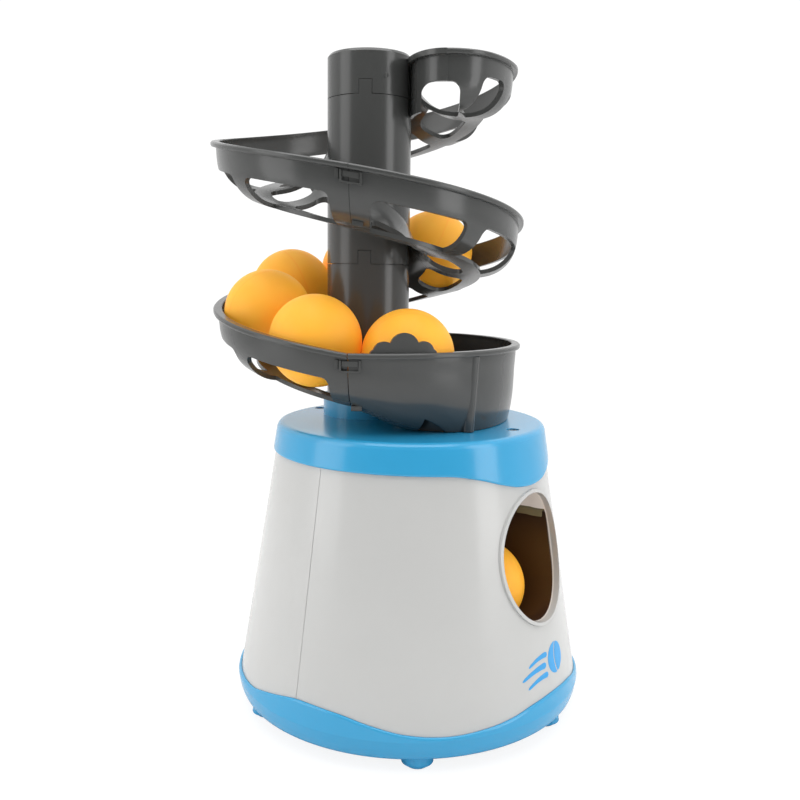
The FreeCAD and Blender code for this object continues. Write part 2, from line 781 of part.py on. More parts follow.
def skirt_section(angle):
    # (radius, height)
    top = skirt_edge(angle)
    bottom, floor = dim.skirt_bottom, dim.floor_top
    return [(73.0, bottom), (dim.skirt_bottom_radius, bottom), (76.5, 5.5), (77.5, 6.3),
            (78.3, 7.4), (78.9, 8.8), (79.4, 10.4), (79.8, 12.4),
            (cone_r(14.4) + proud, 14.4), (cone_r(top - 0.7) + proud, top - 0.7),
            (cone_r(top - 0.2) + proud - 0.3, top - 0.2), (cone_r(top) + 0.5, top),
            (cone_r(top) + 0.1, top), (cone_r(13.4) + 0.1, 13.4), (76.4, 13.4),
            (74.6, floor), (73.0, floor)]


def cap_section(angle):
    # (radius, height)
    low = cap_edge(angle)
    return [(cone_r(low) + 0.1, low), (cone_r(low) + 0.6, low),
            (cone_r(low) + proud - 0.2, low + 0.25), (cone_r(low + 0.8) + proud, low + 0.8),
            (cone_r(127.2) + proud, 127.2), (61.45, 128.6), (60.95, 129.7), (60.2, 130.5),
            (59.2, 130.9), (58.2, cap_top), (56.5, cap_top), (56.5, cap_under),
            (cone_r(cap_under) + 0.1, cap_under)]


# ---------------------------------------------------------------- base pan and door
FOOT_TURNS = [-65.5, 3.0, 60.9, 134.0, 212.0]
FOOT_END = 1.6                      # height of the bevelled foot end
SCREW_ANGLES = [235.0, 305.0, 55.0, 125.0]      # two in front, two behind, from +X
SCREW_CIRCLE = 71.2
SCREW_PLACES = [plan_point(angle, SCREW_CIRCLE) for angle in SCREW_ANGLES]
DOOR_SCREW = (-41.0, -33.0)


def door_cyl(name, radius, height, z):
    return cyl(name, radius, height, DOOR_SCREW + (z,))


def cross_slot(name, place, half_length, half_width, z0, z1):
    x, y = place
    return [box("%s_%s" % (name, tag), (x - dx, y - dy, z0), (x + dx, y + dy, z1))
            for tag, dx, dy in (("a", half_length, half_width), ("b", half_width, half_length))]


@piece
def base_pan():
    skirt = shape_feature("skirt_ring", around(skirt_section))
    floor = cyl("pan_floor", 74.0, dim.floor_top - dim.skirt_bottom, (0, 0, dim.skirt_bottom),
                height_by="sizes.floor_top - sizes.skirt_bottom")
    # five feet round the edge; a sixth in the middle keeps the wide floor from sagging
    feet = []
    places = [plan_point(TURN_ZERO + turn, dim.foot_circle) for turn in FOOT_TURNS]
    for i, (x, y) in enumerate(places + [(0, 0)], 1):
        feet.append(cyl("foot_%d" % i, dim.foot_radius, 4.2, (x, y, FOOT_END),
                        radius_by="sizes.foot_radius"))
        feet.append(cone("foot_end_%d" % i, dim.foot_radius - 1.9, dim.foot_radius, FOOT_END,
                         (x, y, 0)))
    towers, holes = [], []
    for i, (x, y) in enumerate(SCREW_PLACES, 1):
        towers.append(cyl("tower_%d" % i, 3.6, 5.6, (x, y, 7.7)))
        holes.append(cyl("tower_hole_%d" % i, 1.65, 12, (x, y, 4.0)))
        holes.append(cyl("tower_head_%d" % i, 3.0, 3.4, (x, y, 4.0)))
    bay = box("bay_block", (-65.0, -29.0, dim.skirt_bottom), (-17.0, 29.0, 24.0))
    joined = fuse("pan_joined", skirt, floor, bay, door_cyl("door_boss", 3.2, 8.0, 7.0),
                  *feet, *towers)
    return cut("base_pan", joined,
               box("bay_hollow", (-63.5, -27.6, 4.0), (-18.5, 27.6, 22.5)),
               box("door_recess", (-64.9, -28.9, -1.0), (-17.1, 28.9, 6.9)),
               box("door_tongue_recess", (-46.2, -37.2, 4.0), (-35.8, -27.0, 6.9)),
               door_cyl("door_screw_hole", 1.25, 12.0, 4.0), *holes)


@piece
def battery_door():
    blank = fuse("door_blank", box("door_plate", (-64.7, -28.7, 5.1), (-17.3, 28.7, 6.7)),
                 box("door_tongue", (-46.0, -37.0, 5.1), (-36.0, -28.0, 6.7)))
    ribbed = fuse("door_ribbed", blank,
                  box("door_rib_1", (-62.0, -8.0, 6.5), (-20.0, -6.5, 7.3)),
                  box("door_rib_2", (-62.0, 6.5, 6.5), (-20.0, 8.0, 7.3)))
    return cut("battery_door_holed", ribbed, door_cyl("door_hole", 1.5, 6, 3.0),
               door_cyl("door_counterbore", 2.6, 2.0, 4.0))


@piece
def battery_door_screw():
    blank = fuse("door_screw_all", door_cyl("door_screw_head", 2.4, 0.75, 5.2),
                 door_cyl("door_screw_shank", 1.2, 8.2, 5.6))
    return cut("door_screw", blank,
               *cross_slot("door_screw_slot", DOOR_SCREW, 1.6, 0.3, 5.0, 5.5))


@piece
def base_screws():
    screws = []
    for i, (x, y) in enumerate(SCREW_PLACES, 1):
        screws.append(cyl("base_screw_head_%d" % i, 2.7, 1.6, (x, y, 5.75)))
        screws.append(cyl("base_screw_shank_%d" % i, 1.4, 15.5, (x, y, 7.3)))
    return fuse("base_screws", *screws)


# ---------------------------------------------------------------- shells
SHELL_BOTTOM, SHELL_TOP = 13.6, 127.8
CAP_SCREWS = [(6.5, -50.5), (-3.0, 53.3)]       # front, rear
BEAD = 1.5                          # width of the bead round the opening


def opening_oval(extra, y0, y1):
    # upright ellipse, taller than wide, drawn out along Y
    width, height = dim.opening_half_width + extra, dim.opening_half_height + extra
    ellipse = Part.Ellipse(Vector(0, height, 0), Vector(width, 0, 0), ORIGIN)
    face = Part.Face(Part.Wire(ellipse.toShape()))
    face.rotate(ORIGIN, Vector(1, 0, 0), 90)
    face.translate(Vector(0, y0, dim.opening_centre_height))
    return face.extrude(Vector(0, y1 - y0, 0))


def opening_bead():
    inset = 0.4 - dim.shell_wall
    band = Part.makeCone(cone_r(45) + 1.0, cone_r(115) + 1.0, 70, Vector(0, 0, 45)).cut(
        Part.makeCone(cone_r(44) + inset, cone_r(116) + inset, 72, Vector(0, 0, 44)))
    return opening_oval(BEAD, -90, -40).cut(opening_oval(0, -91, -39)).common(band)


def bosses(tag, places, top_place):
    # screw bosses: two at the foot of the shell, one under the cap with a rib to the wall
    solids, holes = [], []
    for i, (x, y) in enumerate(places, 1):
        solids.append(cyl("%s_boss_%d" % (tag, i), 4.0, 14.5, (x, y, SHELL_BOTTOM)))
        holes.append(cyl("%s_boss_hole_%d" % (tag, i), 1.45, 11.0, (x, y, SHELL_BOTTOM - 1)))
    x, y = top_place
    solids.append(cyl(tag + "_top_boss", 3.4, 16.0, (x, y, SHELL_TOP - 16.0)))
    holes.append(cyl(tag + "_top_boss_hole", 1.25, 12.0, (x, y, SHELL_TOP - 11.0)))
    length = cone_r(120) - dim.shell_wall + 0.8 - math.hypot(x, y)
    solids.append(turned_box(tag + "_top_rib", (length, 2.0, 14.0), (x, y, SHELL_TOP - 15.0),
                             (0, -1, 0), math.atan2(y, x) / DEG))
    return solids, holes


def half_shell(tag, y0, y1, places, top_place, extras, opening):
    # half of the conical wall between two Y places, with its bosses and one opening
    hull = cut(tag + "_hull", taper(tag + "_outside", SHELL_BOTTOM, SHELL_TOP),
               taper(tag + "_inside", SHELL_BOTTOM - 1, SHELL_TOP + 1, inside=True))
    wall = common(tag + "_wall", hull, box(tag + "_half", (-100, y0, 0), (100, y1, 200)))
    solids, holes = bosses(tag, places, top_place)
    return cut(tag + "_shell", fuse(tag + "_joined", wall, *extras, *solids), opening, *holes)


@piece
def front_shell():
    return half_shell("front", -100, -0.06, SCREW_PLACES[:2], CAP_SCREWS[0],
                      [shape_feature("opening_bead", opening_bead())],
                      shape_feature("opening_cut", opening_oval(0, -90, -40)))


@piece
def rear_shell():
    return half_shell("rear", 0.06, 100, SCREW_PLACES[2:], CAP_SCREWS[1], [],
                      box("switch_window", (-6.0, 60, 42.4), (6.0, 90, 47.6)))


# ---------------------------------------------------------------- cap
@piece
def top_cap():
    ring = shape_feature("cap_ring", around(cap_section))
    disc_plate = cyl("cap_disc", 57.5, dim.cap_plate, (0, 0, cap_under),
                     height_by="sizes.cap_plate")
    collar = column_cyl("cap_collar", "column_radius", 1.8, 10.2, cap_top - 0.5)
    seats, holes = [], []
    for i, (x, y) in enumerate(CAP_SCREWS, 1):
        seats.append(cyl("cap_seat_%d" % i, 4.6, 2.0, (x, y, cap_under)))
        holes.append(cyl("cap_screw_hole_%d" % i, 1.6, 12, (x, y, cap_top - 8)))
        holes.append(cyl("cap_counterbore_%d" % i, 2.9, 5, (x, y, cap_top - 1.6)))
    return cut("top_cap", fuse("cap_joined", ring, disc_plate, collar, *seats),
               column_cyl("cap_collar_bore", "column_radius", 0.25, 20, cap_top),
               cyl("cap_drop_hole", dim.drop_radius + 0.6, 20,
                   (0, -dim.drop_forward, cap_top - 8), radius_by="sizes.drop_radius + 0.6"),
               *holes)


@piece
def cap_screws():
    screws = []
    for i, (x, y) in enumerate(CAP_SCREWS, 1):
        tag = "cap_screw_%d" % i
        blank = fuse(tag + "_all", cyl(tag + "_head", 2.6, 1.1, (x, y, cap_top - 1.55)),
                     cyl(tag + "_shank", 1.2, 10.5, (x, y, cap_top - 12.0)))
        screws.append(cut(tag, blank, *cross_slot(tag + "_slot", (x, y), 1.7, 0.35,
                                                  cap_top - 0.95, cap_top)))
    return fuse("cap_screws", *screws)


# ---------------------------------------------------------------- launch barrel and chute
# The launch frame has its origin at the resting ball, +Z along the launch, +Y above it.
launch_frame = Placement(Vector(0, -dim.ball_rest_forward, dim.ball_rest_height),
                         Rotation(Vector(1, 0, 0), 90 - dim.launch_tilt))
CHUTE_LEAN = 0.3206                 # slope of the rear wall of the chute
drop_front = -dim.drop_forward - dim.drop_radius


def launch_yz(along, above):
    # (y, z) of a point along the launch line and above it
    c, s = math.cos(dim.launch_tilt * DEG), math.sin(dim.launch_tilt * DEG)
    return (-dim.ball_rest_forward - c * along + s * above,
            dim.ball_rest_height + s * along + c * above)


def launch_cyl(name, radius, height, start, radius_by=None):
    return cyl(name, radius, height, (0, 0, start), frame=launch_frame, radius_by=radius_by)


def launch_box(name, low, high):
    return box(name, low, high, launch_frame)


def chute(name, offset, top):
    # side view of the drop chute and barrel, moved outwards by the offset
    back, front = launch_yz(-30.0, 0), launch_yz(60.0, 0)
    rear = offset * 1.05
    rear_foot = back[1] + 7
    front_y = drop_front - 0.6 - offset
    roof = 110.5 + offset
    outline = [(3.6 + rear, top), (3.6 + rear, 124.0),
               (-19.3 + rear + CHUTE_LEAN * (rear_foot - 53.4), rear_foot), back, front,
               (front[0], roof), (front_y, roof), (front_y, top)]
    half_width = dim.barrel_bore + offset
    return prism_yz(name, outline, -half_width, half_width)


@piece
def launch_barrel():
    outside = chute("chute_outside", dim.barrel_wall, cap_under - 0.3)
    inside = chute("chute_inside", 0.0, cap_top + 2)
    round_outside = launch_cyl("barrel_outside", dim.barrel_bore + dim.barrel_wall, 90.0, -30.0,
                               "sizes.barrel_bore + sizes.barrel_wall")
    round_inside = launch_cyl("barrel_inside", dim.barrel_bore, 92.0, -31.0,
                              "sizes.barrel_bore")
    low_half = launch_box("barrel_low_half", (-40, -40, -40), (40, 0.02, 80))
    barrel = fuse("barrel_blank", outside, common("barrel_low", round_outside, low_half))
    barrel = common("barrel_trimmed", barrel,
                    taper("barrel_limit", 0, cap_top, inside=True, extra=-0.35))
    barrel = cut("barrel_hollow_1", barrel, inside)
    barrel = cut("barrel_hollow_2", barrel, round_inside)
    open_top = box("barrel_open_top", (-40, -95, dim.barrel_side_height),
                   (40, drop_front - 2.7, 118))
    open_top.setExpression("Placement.Base.z", "sizes.barrel_side_height")
    return cut("launch_barrel", barrel, launch_cyl("striker_room", 13.2, 60.0, -60.0), open_top)


# ---------------------------------------------------------------- striker
@piece
def striker():
    return fuse("striker", launch_cyl("striker_head", 12.0, 4.6, -27.0),
                launch_cyl("striker_rod", dim.rod_radius, 67.0, -93.0, "sizes.rod_radius"),
                launch_box("striker_catch", (-2.0, 2.0, -66.5), (8.7, 9.6, -62.5)),
                launch_cyl("striker_boss", 5.0, 2.0, -28.5))


@piece
def striker_cushion():
    body = cone("cushion_body", 10.6, 9.6, 2.0, (0, 0, -22.38), frame=launch_frame)
    return fuse("striker_cushion", body, launch_cyl("cushion_base", 10.6, 0.3, -22.39))


@piece
def striker_spring():
    # coil spring round the rod, drawn short
    pitch, length, radius, wire_radius = 1.62, 9.7, 5.9, 0.45
    section = Part.Wire(Part.makeCircle(wire_radius, Vector(radius, 0, 0), Vector(0, 1, 0)))
    coil = Part.Wire(Part.makeHelix(pitch, length, radius)).makePipeShell([section], True, True)
    spring = shape_feature("striker_spring", coil)
    spring.Placement = placed((0, 0, -37.7), (0, 0, 1), launch_frame)
    return spring


# ---------------------------------------------------------------- gear train
PINION_TEETH, GEAR_TEETH, CRANK_TEETH = 12, 36, 48
ADDENDUM, DEDENDUM = 0.74, 1.25     # in modules
TOOTH_THINNING = 0.055              # taken off the tooth thickness at the pitch circle
PRESSURE_ANGLE = 20 * DEG
MESH_SLACK = 0.06                   # added to each centre distance
CRANK_X, LAYER = 9.3, 3.5           # crank wheel face, and the step to the next wheel
PINION_BACK = 3.4                   # from a wheel's face to the start of its pinion
CRANK_CENTRE = launch_yz(-52.5, 15.0)
# each gear from the one before: (label, direction in degrees from +Y towards +Z)
TRAIN = [("gear_3", 50), ("gear_2", 100), ("gear_1", 180), ("motor_pinion", 120)]
ALONG_X = Rotation(Vector(1, 1, 1), 120)        # local x, y, z become Y, Z, X


def gear_face(teeth):
    # involute gear outline
    module = dim.gear_module
    pitch_radius = module * teeth / 2
    tip, root = pitch_radius + ADDENDUM * module, pitch_radius - DEDENDUM * module
    base = pitch_radius * math.cos(PRESSURE_ANGLE)
    half_tooth = math.pi / (2 * teeth) - TOOTH_THINNING / (2 * pitch_radius)
    flank_foot = max(base, root + 0.02)
    radii = [flank_foot + (tip - flank_foot) * i / 5.0 for i in range(6)]

    def involute(angle):
        return math.tan(angle) - angle

    def half_angle(radius):
        angle = math.acos(min(1.0, base / radius))
        return half_tooth + involute(PRESSURE_ANGLE) - involute(angle)

    def point(radius, angle):
        return Vector(radius * math.cos(angle), radius * math.sin(angle), 0)

    edges = []
    pitch = 2 * math.pi / teeth
    foot_angle = half_angle(flank_foot)
    for k in range(teeth):
        middle = k * pitch
        rising = [point(r, middle - half_angle(r)) for r in radii]
        falling = [point(r, middle + half_angle(r)) for r in reversed(radii)]
        root_start = point(root, middle + foot_angle)
        root_end = point(root, middle + pitch - foot_angle)
        edges += [
            Part.makeLine(point(root, middle - foot_angle), rising[0]),
            curve(rising),
            Part.Arc(rising[-1], point(tip, middle), falling[0]).toShape(),
            curve(falling),
            Part.makeLine(falling[-1], root_start),
            Part.Arc(root_start, point(root, middle + pitch / 2), root_end).toShape()]
    return Part.Face(Part.Wire(edges))


def wheel(teeth, start, width, phase):
    solid = gear_face(teeth).extrude(Vector(0, 0, width))
    solid.rotate(ORIGIN, Z_AXIS, phase / DEG)
    solid.translate(Vector(0, 0, start))
    return solid


def disc(radius, start, end):
    return Part.makeCylinder(radius, end - start, Vector(0, 0, start))


def mesh_phase(phase, teeth, direction, next_teeth):
    # phase that sets a tooth of the next gear into a gap of this one
    pitch, next_pitch = 2 * math.pi / teeth, 2 * math.pi / next_teeth
    part = ((direction - phase) / pitch) % 1.0
    return direction + math.pi + (part + 0.5) * next_pitch


def place_gear(label, shape, centre):
    part = shape_feature(label, shape)
    part.Placement = Placement(Vector(0, *centre), ALONG_X)
    add_piece(label, part)


def crank_wheel():
    # its pin stands towards the rod and lies ahead of the axle at rest
    (y0, z0), (y1, z1) = launch_yz(0, 0), launch_yz(1, 0)
    angle = math.atan2(z1 - z0, y1 - y0)
    pin = Part.makeCylinder(1.5, 4.1, Vector(9.0 * math.cos(angle), 9.0 * math.sin(angle), 5.4))
    solid = wheel(CRANK_TEETH, CRANK_X, dim.gear_width, 0.0)
    return solid.fuse(pin).fuse(disc(2.6, 6.0, 9.6)).cut(gear_bore)


gear_bore = disc(dim.axle_radius + 0.04, 0, 40)
place_gear("crank_wheel", crank_wheel(), CRANK_CENTRE)
centres = [CRANK_CENTRE]
phase, teeth = 0.0, CRANK_TEETH
for layer, (label, degrees) in enumerate(TRAIN, 1):
    direction = degrees * DEG
    distance = dim.gear_module * (teeth + PINION_TEETH) / 2 + MESH_SLACK
    y, z = centres[-1]
    centres.append((y + distance * math.cos(direction), z + distance * math.sin(direction)))
    phase = mesh_phase(phase, teeth, direction, PINION_TEETH)
    teeth = GEAR_TEETH
    wheel_x = CRANK_X + LAYER * layer
    if label == "motor_pinion":
        # runs in the plane of the last wheel
        gear = wheel(PINION_TEETH, wheel_x - LAYER, 3.0, phase)
        gear = gear.cut(disc(dim.axle_radius + 0.01, 10, 40))
    else:
        gear = wheel(GEAR_TEETH, wheel_x, dim.gear_width, phase).fuse(
            wheel(PINION_TEETH, wheel_x - PINION_BACK, 3.5, phase)).cut(gear_bore)
    place_gear(label, gear, centres[-1])
motor_centre = centres.pop()
motor_y, motor_z = motor_centre
axles = list(zip("w321", centres))

# ---------------------------------------------------------------- gearbox
LEFT_X0, LEFT_X1 = -11.0, -8.5      # plate faces; the left plate is on the -X side
RIGHT_X0, RIGHT_X1 = 26.0, 28.5
# plate outlines and post centres: (y, z)
LEFT_PLATE = [(-6, 8.15), (44, 8.15), (44, 28), (37, 48), (33, 74), (24, 88), (2, 88),
              (-3, 78), (-6.0, 56), (-8.5, 45), (-9.5, 34)]
RIGHT_PLATE = [(-4, 8.15), (44, 8.15), (44, 28), (38, 50), (35, 74), (26, 94), (-8, 96),
               (-9, 76), (-4, 56), (-6, 30)]
POSTS = [(39.0, 10.9), (2.0, 21.0), (18.0, 85.6), (35.0, 55.0)]


def axle_holes(tag, x0, x1):
    return [cyl_x("axle_hole_%s_%s" % (tag, axle), dim.axle_radius + 0.01, x1 - x0, x0, centre,
                  "sizes.axle_radius + 0.01") for axle, centre in axles]


def post_cylinders(name, radius, length, x):
    return [cyl_x("%s_%d" % (name, i), radius, length, x, post) for i, post in enumerate(POSTS)]


@piece
def gear_axles():
    return fuse("gear_axles", *[
        cyl_x("axle_" + axle, dim.axle_radius, RIGHT_X1 - LEFT_X0 - 0.2, LEFT_X0 + 0.1, centre,
              "sizes.axle_radius") for axle, centre in axles])


@piece
def gearbox_left():
    # plate with the posts and two guides for the striker rod
    guide_x = LEFT_X1 - 0.3
    joined = fuse("gearbox_left_joined",
                  prism_yz("gear_plate_left", LEFT_PLATE, LEFT_X0, LEFT_X1),
                  launch_box("guide_front", (guide_x, -6.5, -44.0), (5.3, 6.5, -38.3)),
                  launch_box("guide_rear", (guide_x, -6.5, -72.0), (5.3, 6.5, -68.0)),
                  *post_cylinders("post", 2.4, RIGHT_X0 - LEFT_X1 + 0.35, LEFT_X1 - 0.4))
    rod_bore = launch_cyl("rod_bore", dim.rod_radius + dim.running_gap, 50.0, -80.0,
                          "sizes.rod_radius + sizes.running_gap")
    return cut("gearbox_left", joined, rod_bore, *post_cylinders("post_hole", 1.05, 30, 6.0),
               *axle_holes("l", LEFT_X0 - 1, LEFT_X1 + 1))


@piece
def gearbox_right():
    return cut("gearbox_right", prism_yz("gear_plate_right", RIGHT_PLATE, RIGHT_X0, RIGHT_X1),
               *axle_holes("r", RIGHT_X0 - 1, RIGHT_X1 + 1),
               *post_cylinders("right_screw_hole", 1.3, 6, RIGHT_X0 - 2),
               cyl_x("motor_nose_hole", 3.2, 6, RIGHT_X0 - 2, motor_centre))


@piece
def gearbox_screws():
    return fuse("gearbox_screws",
                *post_cylinders("gear_screw_head", 2.2, 1.4, RIGHT_X1 + 0.05),
                *post_cylinders("gear_screw_shank", 1.0, 17.0, RIGHT_X1 - 16.5))


# ---------------------------------------------------------------- motor
def flatted(name, radius, length, x, half_height):
    # cylinder on the motor axis with a flat above and below
    return common(name + "_flats", cyl_x(name + "_round", radius, length, x, motor_centre),
                  box(name + "_box", (RIGHT_X1, motor_y - 12, motor_z - half_height),
                      (RIGHT_X1 + 30, motor_y + 12, motor_z + half_height)))


@piece
def motor_can():
    can = fuse("motor_can_joined", flatted("motor_can", 10.05, 25.0, RIGHT_X1 + 0.1, 7.6),
               cyl_x("motor_nose", 3.0, 2.0, RIGHT_X1 - 1.6, motor_centre))
    bore = cyl_x("motor_bore", dim.axle_radius + 0.05, 22, RIGHT_X1 - 3, motor_centre)
    return cut("motor_can", can, bore)


@piece
def motor_end_cap():
    hub_x = RIGHT_X1 + 27.4
    tags = [box("motor_tag_" + tag, (hub_x, motor_y + y0, motor_z - 1.5),
                (RIGHT_X1 + 30.0, motor_y + y0 + 0.5, motor_z + 1.5))
            for tag, y0 in (("a", -6.5), ("b", 6.0))]
    return fuse("motor_end_cap", flatted("motor_end", 9.6, 2.4, RIGHT_X1 + 25.15, 7.2),
                cyl_x("motor_end_hub", 2.4, 1.6, hub_x, motor_centre), *tags)


@piece
def motor_shaft():
    return cyl_x("motor_shaft", dim.axle_radius, 26.0, 19.0, motor_centre, "sizes.axle_radius")


# ---------------------------------------------------------------- power
CELL_Z = 15.0
# cells lie along Y and alternate: (x, direction of the nub)
CELLS = [(-55.8, 1), (-41.0, -1), (-26.2, 1)]


@piece
def cells():
    parts = []
    for i, (x, way) in enumerate(CELLS, 1):
        parts.append(cyl("cell_%d" % i, 7.15, 48.6, (x, -24.3, CELL_Z), (0, 1, 0)))
        parts.append(cyl("cell_nub_%d" % i, 2.7, 1.6, (x, 24.2 * way, CELL_Z), (0, way, 0)))
    return fuse("cells", *parts)


@piece
def cell_contacts():
    # a plate at each end, with a dimple at the nub and a cone for the coil at the other end
    parts = []
    for i, (x, way) in enumerate(CELLS):
        for end in (1, -1):
            y = 27.0 * end
            y0, y1 = sorted((y, y + 0.45 * end))
            parts.append(box("contact_%d_%s" % (i, "a" if end > 0 else "b"),
                             (x - 4.5, y0, CELL_Z - 5), (x + 4.5, y1, CELL_Z + 5)))
            if end == way:
                parts.append(cyl("contact_dimple_%d" % i, 1.6, 1.0,
                                 (x, y - 0.95 * end, CELL_Z), (0, end, 0)))
            else:
                parts.append(cone("contact_coil_%d" % i, 2.2, 3.6, 2.4,
                                  (x, y - 2.4 * end, CELL_Z), (0, end, 0)))
    return fuse("cell_contacts", *parts)


@piece
def switch_body():
    return cut("switch_body_all", box("switch_case", (-8.5, 63.5, 41.0), (8.5, 70.6, 49.0)),
               box("switch_channel", (-5.2, 68.5, 42.8), (5.2, 72, 47.2)))


@piece
def switch_slider():
    return fuse("switch_slider", box("slider_knob", (-5.0, 68.6, 42.95), (-0.2, 75.0, 47.05)),
                box("slider_ridge", (-3.0, 74.5, 43.4), (-2.2, 75.5, 46.6)))


def lead(points):
    # round wire through the points, with a ball at each bend
    radius = 0.7
    points = [Vector(*p) for p in points]
    wire = None
    for start, end in zip(points, points[1:]):
        run = end - start
        length = Part.makeCylinder(radius, run.Length, start, run)
        wire = length if wire is None else wire.fuse(length)
    for bend in points[1:-1]:
        wire = wire.fuse(Part.makeSphere(radius, bend))
    return wire


@piece
def motor_leads():
    x = RIGHT_X1 + 30.8
    y0, y1 = motor_y - 6.2, motor_y + 6.2
    routes = [
        # motor to switch
        [(x, y0, motor_z), (x + 1.5, y0, motor_z - 10), (45, 30, 66), (20, 58, 46),
         (7.0, 62.7, 45)],
        # motor to cells
        [(x, y1, motor_z), (x + 1.5, y1, motor_z - 12), (52, 34, 26), (20, 53, 11),
         (-20, 49, 10), (-22, 30.2, 14)],
        # switch to cells
        [(-7.0, 62.6, 45), (-26, 52, 28), (-56, 36, 14), (-56, 30.2, 14)]]
    return shape_feature("motor_leads", Part.makeCompound([lead(route) for route in routes]))


# ---------------------------------------------------------------- balls
QUEUE_START = 693.5                 # turn of the first queued ball
QUEUE_STEP = 48.8


def ball(name, place):
    part = doc.addObject("Part::Sphere", name)
    part.Radius = dim.ball_radius
    part.Placement = Placement(place, Rotation())
    return drive(part, Radius="sizes.ball_radius")


def track_ball(name, turn, z):
    return ball(name, polar(turn, dim.ball_track_radius, z))


@piece
def ball_in_barrel():
    return ball("ball_in_barrel", Vector(0, -dim.ball_rest_forward, dim.ball_rest_height))


@piece
def ball_next():
    return track_ball("ball_next", 23.5, TRAY_FLOOR + dim.ball_radius + 0.15)


@piece
def ball_queue():
    turns = [QUEUE_START - QUEUE_STEP * i for i in range(5)]
    return fuse("ball_queue", *[
        track_ball("ball_queue_%d" % i, turn,
                   rim_helix(turn) - TROUGH_DEPTH + dim.ball_radius + 0.85)
        for i, turn in enumerate(turns)])


# ---------------------------------------------------------------- checks and files
doc.recompute()
faults = []
for part in doc.Objects:
    state = " ".join(str(flag) for flag in part.State)
    if "Invalid" in state or "Error" in state:
        faults.append("%s: %s" % (part.Name, state))
    if hasattr(part, "Shape") and part.TypeId.startswith("Part"):
        if part.Shape.isNull() or not part.Shape.isValid():
            faults.append("%s: shape null or not valid" % part.Name)
labels = [label for label, part in pieces]
for label, part in pieces:
    if labels.count(label) > 1:
        faults.append("label used twice: " + label)
    if part.Label != label:
        faults.append("label %s became %s" % (label, part.Label))
if faults:
    raise SystemExit("\n".join(faults))
for label, part in pieces:
    part.Shape.exportStep("parts/%s.step" % label)
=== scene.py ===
"""Table-tennis ball launcher: a round base, and a column with a ball track spiralling down it.

Z is up and the floor is at z = 0. The base axis is x = y = 0 and the front faces -Y.
Places round the product are turns in degrees, counted anticlockwise from above, from the
side that faces the camera (front left). The track falls as the turn grows.
Geometry is written in mm and scaled by MM; materials, lights and camera are in metres.
"""
import math
from collections import namedtuple

import bmesh
import bpy
from mathutils import Matrix, Vector


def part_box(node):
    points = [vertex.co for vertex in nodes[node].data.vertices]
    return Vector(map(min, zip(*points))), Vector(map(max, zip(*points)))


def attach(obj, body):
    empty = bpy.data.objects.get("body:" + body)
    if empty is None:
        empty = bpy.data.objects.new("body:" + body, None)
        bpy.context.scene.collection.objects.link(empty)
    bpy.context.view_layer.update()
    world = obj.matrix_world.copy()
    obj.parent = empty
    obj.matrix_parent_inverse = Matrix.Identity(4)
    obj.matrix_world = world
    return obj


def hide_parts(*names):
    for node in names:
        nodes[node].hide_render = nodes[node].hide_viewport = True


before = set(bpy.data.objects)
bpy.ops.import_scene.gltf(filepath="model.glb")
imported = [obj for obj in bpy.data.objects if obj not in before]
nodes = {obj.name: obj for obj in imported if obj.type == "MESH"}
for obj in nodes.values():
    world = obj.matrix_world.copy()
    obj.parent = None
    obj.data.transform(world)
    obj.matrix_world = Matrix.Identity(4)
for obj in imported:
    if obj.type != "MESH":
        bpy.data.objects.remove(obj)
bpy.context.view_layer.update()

scene = bpy.context.scene

# ------------------------------------------------------------------ shared dimensions
MM = 0.001
DEG = math.pi / 180.0
COLUMN_Y = 26.0         # column axis, behind the base axis
AZIMUTH_0 = 217.0       # compass angle of turn 0, from +X

TRACK_TOP = 313.0       # rim height of the track at turn 0
TRACK_PITCH = 74.0      # fall of the track in one turn
TROUGH_R = 70.0         # radius at which lengths along the trough are measured
TROUGH_DEPTH = 22.4     # rim to trough floor
TROUGH_SLOPE = -TRACK_PITCH / (360.0 * TROUGH_R * DEG)

SHELL_TOP = 68.5        # the base shells are a cone: radius SHELL_R at this height,
SHELL_R = 70.1          # wider below
SHELL_TAPER = 0.163


def on_column(turn, radius, z, centre_y=COLUMN_Y):
    """Point in mm round the column axis, or round the base axis with centre_y = 0."""
    angle = (AZIMUTH_0 + turn) * DEG
    return Vector((radius * math.cos(angle), centre_y + radius * math.sin(angle), z))


def outward(turn):
    angle = (AZIMUTH_0 + turn) * DEG
    return Vector((math.cos(angle), math.sin(angle), 0))


def track_rim(turn):
    return TRACK_TOP - TRACK_PITCH * turn / 360.0


def shell_radius(z):
    return SHELL_R + SHELL_TAPER * (SHELL_TOP - z)


# ------------------------------------------------------------------ shader node helpers
def wire(tree, target, inputs):
    """Link the sockets in inputs to the target node, and set the plain values."""
    for key, value in inputs.items():
        if isinstance(value, bpy.types.NodeSocket):
            tree.links.new(value, target.inputs[key])
        else:
            target.inputs[key].default_value = value


def node(tree, kind, inputs={}, **settings):
    made = tree.nodes.new("ShaderNode" + kind)
    for key, value in settings.items():
        setattr(made, key, value)
    wire(tree, made, inputs)
    return made


def new_material(name):
    material = bpy.data.materials.new(name)
    material.use_nodes = True
    tree = material.node_tree
    tree.nodes.clear()
    output = node(tree, "OutputMaterial")
    bsdf = node(tree, "BsdfPrincipled")
    wire(tree, output, {0: bsdf.outputs[0]})
    return material, tree, bsdf, output


def object_vector(tree):
    return node(tree, "TexCoord").outputs["Object"]


def coords(tree, scale=(1, 1, 1)):
    return node(tree, "Mapping", {"Vector": object_vector(tree), "Scale": scale}).outputs[0]


def split(tree, vector):
    return node(tree, "SeparateXYZ", {0: vector}).outputs


def noise(tree, vector, scale, detail, rough):
    inputs = {"Vector": vector, "Scale": scale, "Detail": detail, "Roughness": rough}
    return node(tree, "TexNoise", inputs).outputs["Fac"]


